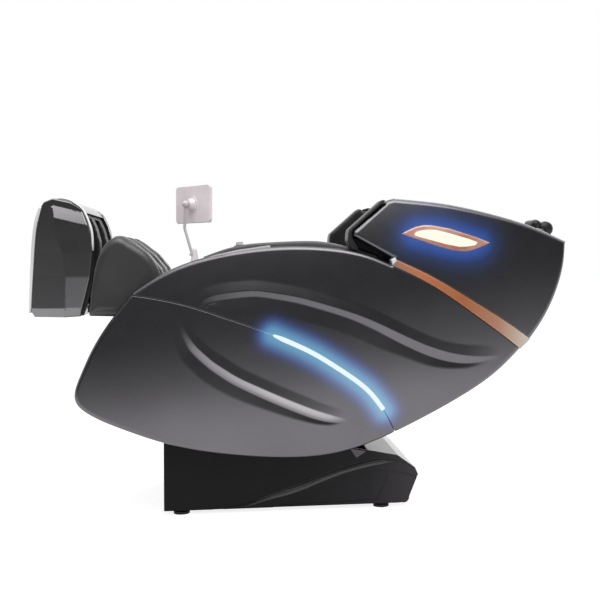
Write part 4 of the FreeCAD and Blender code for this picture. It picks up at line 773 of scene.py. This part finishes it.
def lamp_copper():
    made = material("lamp_copper", (0.5, 0.24, 0.17), 0.36, metallic=0.15, coat=0.2)
    vary_colour(made, (0.52, 0.20, 0.13), (0.68, 0.42, 0.34), 9.0, 0.38, 0.62, (1, 1, 2.5))
    noise_bump(made, 1200.0, 3.0, 0.04, 0.0002)
    vary_rough(made, 0.32, 0.4, 20.0)
    return made


def copper_paint():
    made = material("copper_paint", (0.42, 0.20, 0.10), 0.34, metallic=0.15, coat=0.2)
    # Painted highlights: the colour changes along the band, paler at its start and nearly white
    # towards the head end, where the band catches light
    along_x(made, 0.27, 0.73, ((0, (0.40, 0.22, 0.15)), (0.18, (0.62, 0.22, 0.10)),
                              (0.50, (0.50, 0.17, 0.06)), (0.75, (0.57, 0.27, 0.17)),
                              (0.88, (0.66, 0.50, 0.38)), (1, (0.80, 0.74, 0.66))))
    noise_bump(made, 1200.0, 3.0, 0.04, 0.0002)
    vary_rough(made, 0.30, 0.38, 20.0)
    return made


MAT = {
    "shell": shell_paint(),
    "base_cover": base_paint(),
    "frame": moulded("frame_coat", (0.012, 0.012, 0.013), 0.55, 700.0, 0.12),
    "drive": moulded("drive_plastic", (0.018, 0.018, 0.019), 0.5, 600.0, 0.1),
    "rod": metal("rod_chrome", (0.72, 0.72, 0.74), 0.14),
    "shaft": metal("turned_steel", (0.45, 0.45, 0.47), 0.32),
    "rubber": moulded("foot_rubber", (0.010, 0.010, 0.010), 0.75, 500.0, 0.2),
    "wheel": moulded("wheel_plastic", (0.016, 0.016, 0.017), 0.5),
    "supply": moulded("supply_plastic", (0.014, 0.014, 0.015), 0.5, 500.0, 0.15),
    "light": lit("strip_light", (0.80, 0.91, 0.98), 0.98),
    "copper": copper_paint(),
    "lens": lit("lamp_light", (0.97, 0.93, 0.79), 0.98),
    "lamp_copper": lamp_copper(),
    "leather": leather("seat_leather", (0.012, 0.011, 0.012), (0.020, 0.019, 0.021)),
    # Arm leather: the seat's dark leather painted lighter, a painted highlight of the light from
    # above
    "arm_leather": leather("arm_leather", (0.085, 0.082, 0.084), (0.11, 0.108, 0.11)),
    "calf_leather": leather("calf_leather", (0.020, 0.019, 0.021), (0.028, 0.027, 0.029),
                            spec=0.9, sheen=0.25),
    "foot_shell": moulded("foot_gloss", (0.010, 0.010, 0.011), 0.16, coat=0.6),
    "foot_cheek": piano("cheek_gloss", (0.20, 0.195, 0.20), 0.2),
    "sole": moulded("sole_white", (0.74, 0.74, 0.75), 0.3, coat=0.3),
    "metal_arm": moulded("holder_grey", (0.55, 0.53, 0.535), 0.3, coat=0.3),
    "pearl": moulded("holder_pearl", (0.76, 0.70, 0.71), 0.3, coat=0.3),
    "tablet": moulded("tablet_case", (0.78, 0.70, 0.715), 0.36, 1200.0, 0.03, 0.2),
    "ridge": moulded("ridge_highlight_gloss", (0.030, 0.029, 0.030), 0.32, coat=0.1),
    "tab": metal("tab_steel", (0.085, 0.08, 0.085), 0.3),
    # The base's rear cover in light grey: a painted reflection of the white studio on its black
    # gloss
    "nose": moulded("nose_grey", (0.40, 0.39, 0.385), 0.28, coat=0.3),
    "plinth": moulded("plinth_and_highlight_grey", (0.30, 0.29, 0.295), 0.3, coat=0.2),
    "dial": moulded("dial_pearl", (0.62, 0.61, 0.60), 0.3, coat=0.4),
    "pod": moulded("pod_plastic", (0.016, 0.016, 0.017), 0.45),
    "carriage": moulded("carriage_plastic", (0.02, 0.02, 0.021), 0.5),
    "roller": moulded("roller_plastic", (0.20, 0.14, 0.09), 0.4),
}


def dress_frame():
    for name, piece in frame["nodes"].items():
        piece.data.materials.clear()
        piece.data.materials.append(MAT[REPAINTED.get(name, SLOTS[name])])


# Side shells, and the painted glow and painted highlight in their paint

def fading(gap, reach, power):
    return np.exp(-(gap / reach) ** power)


def glow_of(x, z):
    return fading(near_line(x, z, smooth_line(STRIP_LINE))[0], *STRIP_GLOW)


def lamp_glow_of(x, z):
    gap = near_line(x, z, closed(straight_line(LAMP_GLASS)))[0]
    gap = np.where(inside_loop(x, z, np.array(LAMP_GLASS) / 1000), 0, gap)
    return fading(gap, *LAMP_GLOW)


def painted_highlight_of(x, z):
    # Painted highlight: the lit wall of the lower flute is made lighter, strongest towards its
    # rear end.
    line = FLUTE_LINES[1]
    gap, above, along, power, (band, high, low) = at_flute(x, z, line)
    s = gap * above
    edge = np.clip((-s + 0.001) / 0.003, 0, 1) * np.clip((s + band) / (band * 0.6 + 1e-6), 0, 1)
    share = np.interp(along / len(line), (0, 0.3, 0.6, 0.9, 1), (0.1, 0.3, 0.75, 0.8, 0.2))
    return edge * power * share


def paint_glow_and_highlight(piece):
    co = points_of(piece.data)
    for name, glow in (("glow", glow_of), ("lamp_glow", lamp_glow_of), ("satin", painted_highlight_of)):
        values = glow(co[:, 0], co[:, 2]) * (np.abs(co[:, 1]) > SKIN_Y)
        layer = piece.data.attributes.new(name, "FLOAT", "POINT")
        layer.data.foreach_set("value", values.astype(np.float32))


def near_glow(x, z):
    return np.maximum(glow_of(x, z), lamp_glow_of(x, z)) > GLOW_SEEN


def shells():
    tip = smooth_line(TIP_LINE)
    seam = smooth_line(SEAM_LINE)
    cut = int(np.argmin(np.linalg.norm(tip - seam[-1], axis=1)))
    low_seam = sideways(seam, -SEAM_GAP)
    high_seam = sideways(seam, SEAM_GAP)
    arm = smooth_line(ARM_LINE)
    trim = smooth_line(TRIM_LOW)
    high = smooth_line(TRIM_HIGH)
    rear = smooth_line(HOOD_REAR)
    top = smooth_line(HOOD_TOP)
    nose = straight_line(HOOD_FRONT)
    rows = flute_rows()
    parts = (
        ("front", [low_seam[1:], tip[cut + 2:-1]],
         [(tip[cut:], SHELL_RIM), (low_seam, SEAM_RIM)], side_height, rows),
        ("side", [arm[1:], trim[1:-1], tip[:cut - 1], high_seam[:0:-1]],
         [(tip[:cut + 1], SHELL_RIM), (arm, SHELL_RIM), (high_seam, SEAM_RIM), (trim, SEAM_RIM)],
         side_height, rows),
        ("hood", [high[:-1], rear[:-1], top[:-1], nose[:-1]],
         [(rear, SHELL_RIM), (top, SHELL_RIM), (nose, SHELL_RIM), (high, SEAM_RIM)],
         crown_height, None))
    left = [panel(name + "_skin_left", np.vstack(lines), height, rims, INNER_WALL,
                  fine=near_glow, extra=extra) for name, lines, rims, height, extra in parts]
    right = [mirrored(piece, piece.name.replace("_left", "_right")) for piece in left]
    for piece in left + right:
        paint_glow_and_highlight(piece)
        give(piece, "chair", "shell", "shell", piece.name.replace("skin", "shell"))


def side_trim():
    low = sideways(smooth_line(TRIM_LOW, FINE_STEP), TRIM_GAP)
    high = sideways(smooth_line(TRIM_HIGH, FINE_STEP), -TRIM_GAP)
    inlay("copper_band", between(low, high), 0.0012, 0.0045, "copper", "copper", "copper_trim")
    strip = smooth_line(STRIP_LINE, FINE_STEP)
    half = 0.0078 * np.clip(0.55 + np.arange(len(strip)) / 14, 0, 1)
    inlay("light_bar", ribbon(strip, half), 0.0012, 0.0022, "light", "light", "light_strip")
    inlay("lamp_surround", straight_loop(LAMP_RIM), 0.0035, 0.006, "lamp_copper", "copper",
          "lamp_bezel")
    inlay("lamp_glass", straight_loop(LAMP_GLASS), 0.0050, 0.004, "lens", "lens", "lamp_lens")
    inlay("trim_end_cap", straight_loop(END_CAP, 0.003), 0.003, 0.003, "sole", "silver")
    # A light grey strip along the hood's top edge: a painted highlight of the rounded rim
    top = smooth_line(HOOD_TOP, WIDE_STEP)
    inlay("hood_rim_highlight", between(sideways(top, -0.0005), sideways(top, 0.0065)), -0.0035, 0.0025,
          "plinth", "silver")
    # A light grey strip along the front of the arm: partly a real plinth and partly a painted
    # highlight of the shell's rim
    inlay("arm_plinth", straight_loop(PLINTH), -0.003, 0.004, "plinth", "silver",
          wall=PLINTH_WALL)


# Base, arms, foot rest, calf rest, holder and head rolls

def base_sweep():
    # Rounded ridge that sweeps up along the base. Its paint is lighter than the base's, a painted
    # highlight.
    line = smooth_line(BASE_SWEEP)
    spot = np.arange(len(line))
    half = 0.0125 * np.clip(np.minimum(0.2 + spot / 30, 0.1 + spot[::-1] / 12), 0, 1)
    inlay("base_ridge", ribbon(line, half), 0.0, 0.012, "ridge", "base_cover", body="base",
          height=level(RIDGE_Y), wall=RIDGE_WALL, turn=1.3)


def arm_pads():
    # Slim pads along the tops of the arms, their outer sides just inside the crowned shells. Their
    # leather is painted lighter than the seat's, a painted highlight.
    top = smooth_line(PAD_TOP, WIDE_STEP)
    arm = smooth_line(ARM_LINE, WIDE_STEP)
    cos, sin = circle(28)
    across, rise = squared(cos, 0.42), squared(sin, 0.55)
    rings = []
    for k, (x, z) in enumerate(top):
        low = np.interp(x, arm[:, 0], arm[:, 1]) - 0.012
        out = crown_height(x, z) - 0.017
        end = min(1.0, math.sqrt(min(k + 0.4, len(top) - 0.6 - k) / 5))
        deep = (z - low) / 2 * (0.35 + 0.65 * end)
        wide = (out - PAD_INNER) / 2
        centre = (out + PAD_INNER) / 2
        rings.append(np.stack([np.full(len(cos), x),
                               -centre - across * wide * (0.8 + 0.2 * end),
                               z - deep + rise * deep], axis=1))
    left = tube("arm_cushion_left", rings, reverse=True)
    faces = [tuple(reversed(p.vertices)) for p in left.data.polygons]
    right = new_mesh("arm_cushion_right", np.vstack(rings) * (1, -1, 1), faces)
    for piece, node in ((left, "arm_pad_left"), (right, "arm_pad_right")):
        give(piece, "chair", "arm_leather", "arm_leather", node)


def foot_height(x, z):
    # Facets of the foot rest's side: a crease from top to bottom, a facet that leans back above,
    # and a bevel along the lower edge.
    crease = np.interp(-z, [-p[1] / 1000 for p in FOOT_CREASE], [p[0] / 1000 for p in FOOT_CREASE])
    away = x - crease
    relief = FRONT_SLOPE * ramp(-away, 0, 0.002) + REAR_SLOPE * ramp(away, 0, 0.0015)
    upper = LEAN_START[1] - (x - LEAN_START[0]) * LEAN_TILT
    lean = LEAN_SLOPE * (ramp(z - upper, 0, 0.003) - ramp(z - upper - LEAN_HIGH, 0, 0.002))
    relief += np.where(away > 0, lean, 0.0)
    relief += np.where(away > 0, LOW_SLOPE * ramp(LOW_Z - z, 0, 0.004), 0.0)
    relief += HEM_SLOPE * ramp(HEM_Z - z, 0, 0.0015)
    return FOOT_Y - FOOT_RELIEF * relief


def foot_and_calf():
    on_foot = {"body": "foot", "height": foot_height, "wall": FOOT_WALL}
    inlay("foot_cheek", straight_loop(FOOT_SIDE, FINE_STEP), 0.0, 0.004, "foot_cheek",
          "foot_shell", spacing=0.003, turn=1 / FOOT_RELIEF, **on_foot)
    sole = between(smooth_line(SOLE_OUT, FINE_STEP), smooth_line(SOLE_IN, FINE_STEP))
    inlay("sole_edge", sole, 0.003, 0.003, "sole", "silver", **on_foot)
    rim = smooth_line(FOOT_RIM, FINE_STEP)
    spot = np.arange(len(rim))
    half = 0.0022 * np.clip(np.minimum(spot, spot[::-1]) / 5 + 0.2, 0, 1)
    inlay("foot_rim", ribbon(rim, half), 0.003, 0.002, "sole", "silver", **on_foot)
    calf = smooth_line(CALF_SIDE)
    loop = turned_right(np.vstack([calf, straight_line([CALF_SIDE[-1], CALF_SIDE[0]])[1:-1]]))

    def puffed(x, z):
        return CALF_Y - 0.3 * round_drop(near_line(x, z, closed(loop))[0], 0.027)

    for piece in inlay("calf_cheek", loop, 0.0, 0.001, "calf_leather", "calf_leather",
                       body="leg", height=puffed, wall=CALF_WALL, turn=3.2):
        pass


def holder():
    # Turned foot of the tablet's holder, as radius and height from the arm up.
    profile = [(0.0150, 0.806), (0.0150, 0.812), (0.0135, 0.817), (0.0105, 0.829),
               (0.0085, 0.841), (0.0070, 0.852), (0.0058, 0.857), (0.0030, 0.859)]
    low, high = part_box("holder_base")
    x, y = (low[0] + high[0]) / 2, (low[1] + high[1]) / 2
    cos, sin = circle(32)
    cone = tube("holder_cone", [np.stack([x + r * cos, y + r * sin, np.full(len(cos), z)], axis=1)
                                for r, z in profile])
    give(cone, "chair", "pearl", "metal_arm", "holder_base")


def head_rolls():
    # Padded rolls across the head end, which show above the hood's rear corner.
    cos, sin = circle(24)
    for k, (x, z, size) in enumerate(HEAD_ROLLS):
        rings = []
        for s in np.linspace(-1, 1, 33):
            swell = max(0.02, 1 - abs(s) ** 9) ** 0.5 * (1 - 0.05 * math.cos(6 * math.pi * s) ** 8)
            radius = size / 1000 * swell
            rings.append(np.stack([x / 1000 + radius * cos, np.full(len(cos), s * 0.055),
                                   z / 1000 + radius * sin], axis=1))
        piece = tube("head_roll_%d" % (k + 1), rings)
        give(piece, "chair", "leather", "leather")


def head_strap():
    # The strap that holds the rolls, from the rear cover up.
    path = smooth_line(HEAD_STRAP, WIDE_STEP)
    cos, sin = circle(20)
    across = squared(cos, 0.4) * 0.042
    thick = squared(sin, 0.7) * 0.006
    rings = [np.stack([p[0] + n[0] * thick, across, p[1] + n[1] * thick], axis=1)
             for p, n in zip(path, up_of(path))]
    give(tube("head_strap", rings, reverse=True), "chair", "leather", "leather")


# Soft parts, grown from the solids' own forms

def softened(node, voxel, rounds, swell):
    mesh = frame["nodes"][node].data.copy()
    mesh.materials.clear()
    piece = bpy.data.objects.new(node + "_soft", mesh)
    SCENE.collection.objects.link(piece)
    piece.modifiers.new("weld", "WELD").merge_threshold = WELD_GAP
    remesh = piece.modifiers.new("remesh", "REMESH")
    remesh.mode = "VOXEL"
    remesh.voxel_size = voxel
    smooth = piece.modifiers.new("smooth", "SMOOTH")
    smooth.iterations = rounds
    smooth.factor = 0.5
    graph = bpy.context.evaluated_depsgraph_get()
    mesh = bpy.data.meshes.new_from_object(piece.evaluated_get(graph))
    piece.modifiers.clear()
    piece.data = mesh
    normals = np.zeros(len(mesh.vertices) * 3)
    mesh.vertex_normals.foreach_get("vector", normals)
    mesh.vertices.foreach_set("co", points_of(mesh).ravel() + normals * swell)
    mesh.update()
    mesh.polygons.foreach_set("use_smooth", [True] * len(mesh.polygons))
    return piece


def soft_goods():
    for node, body, slot, voxel, rounds, swell, fill in SOFT_GOODS:
        piece = softened(node, voxel, rounds, swell)
        give(piece, body, slot, slot, node)


# Floor, world, lights and camera

def stage():
    mesh = bpy.data.meshes.new("floor")
    far = 30.0
    mesh.from_pydata([(-far, -far, 0), (far, -far, 0), (far, far, 0), (-far, far, 0)], [],
                     [(0, 1, 2, 3)])
    floor = bpy.data.objects.new("floor", mesh)
    SCENE.collection.objects.link(floor)
    paint = material("floor_paint", (0.44, 0.44, 0.445), 0.8, spec=0.1)
    tree = paint.node_tree
    vary_colour(paint, (0.435, 0.435, 0.44), (0.45, 0.45, 0.455), 2.0)
    tree.links.new(backdrop_share(paint), tree.nodes["Material Output"].inputs["Surface"])
    paint.cycles.emission_sampling = "NONE"
    mesh.materials.append(paint)


def seen_rays(tree):
    # One for camera, glossy and transmission rays, so that metal shows the backdrop too, and
    # one for glossy rays alone.
    path = tree.nodes.new("ShaderNodeLightPath")
    seen = path.outputs["Is Camera Ray"]
    for kind in ("Is Glossy Ray", "Is Transmission Ray"):
        seen = calculated(tree, "MAXIMUM", seen, path.outputs[kind])
    return seen, path.outputs["Is Glossy Ray"]


def backdrop_share(paint):
    # Lit floor with its shadow, plus plain white for the rays that see it. In the lacquer the
    # white ends some way from the chair, where the unlit side of the studio begins.
    tree = paint.node_tree
    seen, glossy = seen_rays(tree)
    away = ramped(tree, place_of(tree)["Y"], -2.6, -1.0, 1.0, 0.0)
    unlit = calculated(tree, "MULTIPLY", away, glossy)
    share = ramped(tree, unlit, 0.0, 1.0, 0.84, 0.05)
    white = tree.nodes.new("ShaderNodeEmission")
    tree.links.new(calculated(tree, "MULTIPLY", share, seen), white.inputs["Strength"])
    both = tree.nodes.new("ShaderNodeAddShader")
    tree.links.new(shader_of(paint).outputs["BSDF"], both.inputs[0])
    tree.links.new(white.outputs["Emission"], both.inputs[1])
    return both.outputs["Shader"]


def world():
    # White all round, apart from the unlit side of the studio that the lacquer reflects.
    studio = bpy.data.worlds.new("studio")
    SCENE.world = studio
    studio.use_nodes = True
    studio.cycles.sampling_method = "NONE"
    tree = studio.node_tree
    tree.nodes.clear()
    out = tree.nodes.new("ShaderNodeOutputWorld")
    seen_by, glossy = seen_rays(tree)
    place = place_of(tree, "Generated")
    low = ramped(tree, place["Z"], 0.60, 0.80, 1.0, 0.0)
    near = ramped(tree, place["Y"], -0.25, 0.35, 1.0, 0.0)
    unlit = calculated(tree, "MULTIPLY", calculated(tree, "MULTIPLY", low, near), glossy)
    seen = tree.nodes.new("ShaderNodeBackground")
    seen.inputs["Color"].default_value = (1, 1, 1, 1)
    tree.links.new(ramped(tree, unlit, 0.0, 1.0, 1.0, 0.07), seen.inputs["Strength"])
    light = tree.nodes.new("ShaderNodeBackground")
    light.inputs["Color"].default_value = (0.98, 0.99, 1, 1)
    light.inputs["Strength"].default_value = 0.6
    mix = tree.nodes.new("ShaderNodeMixShader")
    tree.links.new(seen_by, mix.inputs["Fac"])
    tree.links.new(light.outputs["Background"], mix.inputs[1])
    tree.links.new(seen.outputs["Background"], mix.inputs[2])
    tree.links.new(mix.outputs["Shader"], out.inputs["Surface"])


def aimed(name, data, spot, aim):
    # Lamp or camera at a spot, looking along a direction.
    thing = bpy.data.objects.new(name, data)
    thing.location = spot
    thing.rotation_euler = aim.to_track_quat("-Z", "Y").to_euler()
    SCENE.collection.objects.link(thing)
    return thing


def lights():
    for name, spot, target, wide, high, power in (
            ("key_above", (-0.3, -0.9, 3.4), (0, 0, 0.5), 3.0, 1.8, 45),
            ("front_high", (0.2, -2.6, 3.6), (0, 0, 0.5), 3.4, 1.4, 45),
            ("edge_rear", (1.6, 2.2, 2.4), (0.2, 0, 0.6), 2.0, 1.6, 30)):
        lamp = bpy.data.lights.new(name, "AREA")
        lamp.shape = "RECTANGLE"
        lamp.size = wide
        lamp.size_y = high
        lamp.energy = power
        aimed(name, lamp, spot, Vector(target) - Vector(spot))


def camera():
    lens = bpy.data.cameras.new("camera")
    lens.sensor_fit = "HORIZONTAL"
    lens.angle = math.radians(35.70)
    lens.shift_x = -0.1
    lens.shift_y = -0.025
    SCENE.camera = aimed("camera", lens, (-0.2396, -3.2756, 0.8258),
                         Vector((0.13674, 0.99019, -0.02862)))


camera()
dress_frame()
shells()
side_trim()
arm_pads()
foot_and_calf()
holder()
base_sweep()
head_rolls()
head_strap()
soft_goods()
stage()
world()
lights()
SCENE.view_settings.view_transform = "Standard"
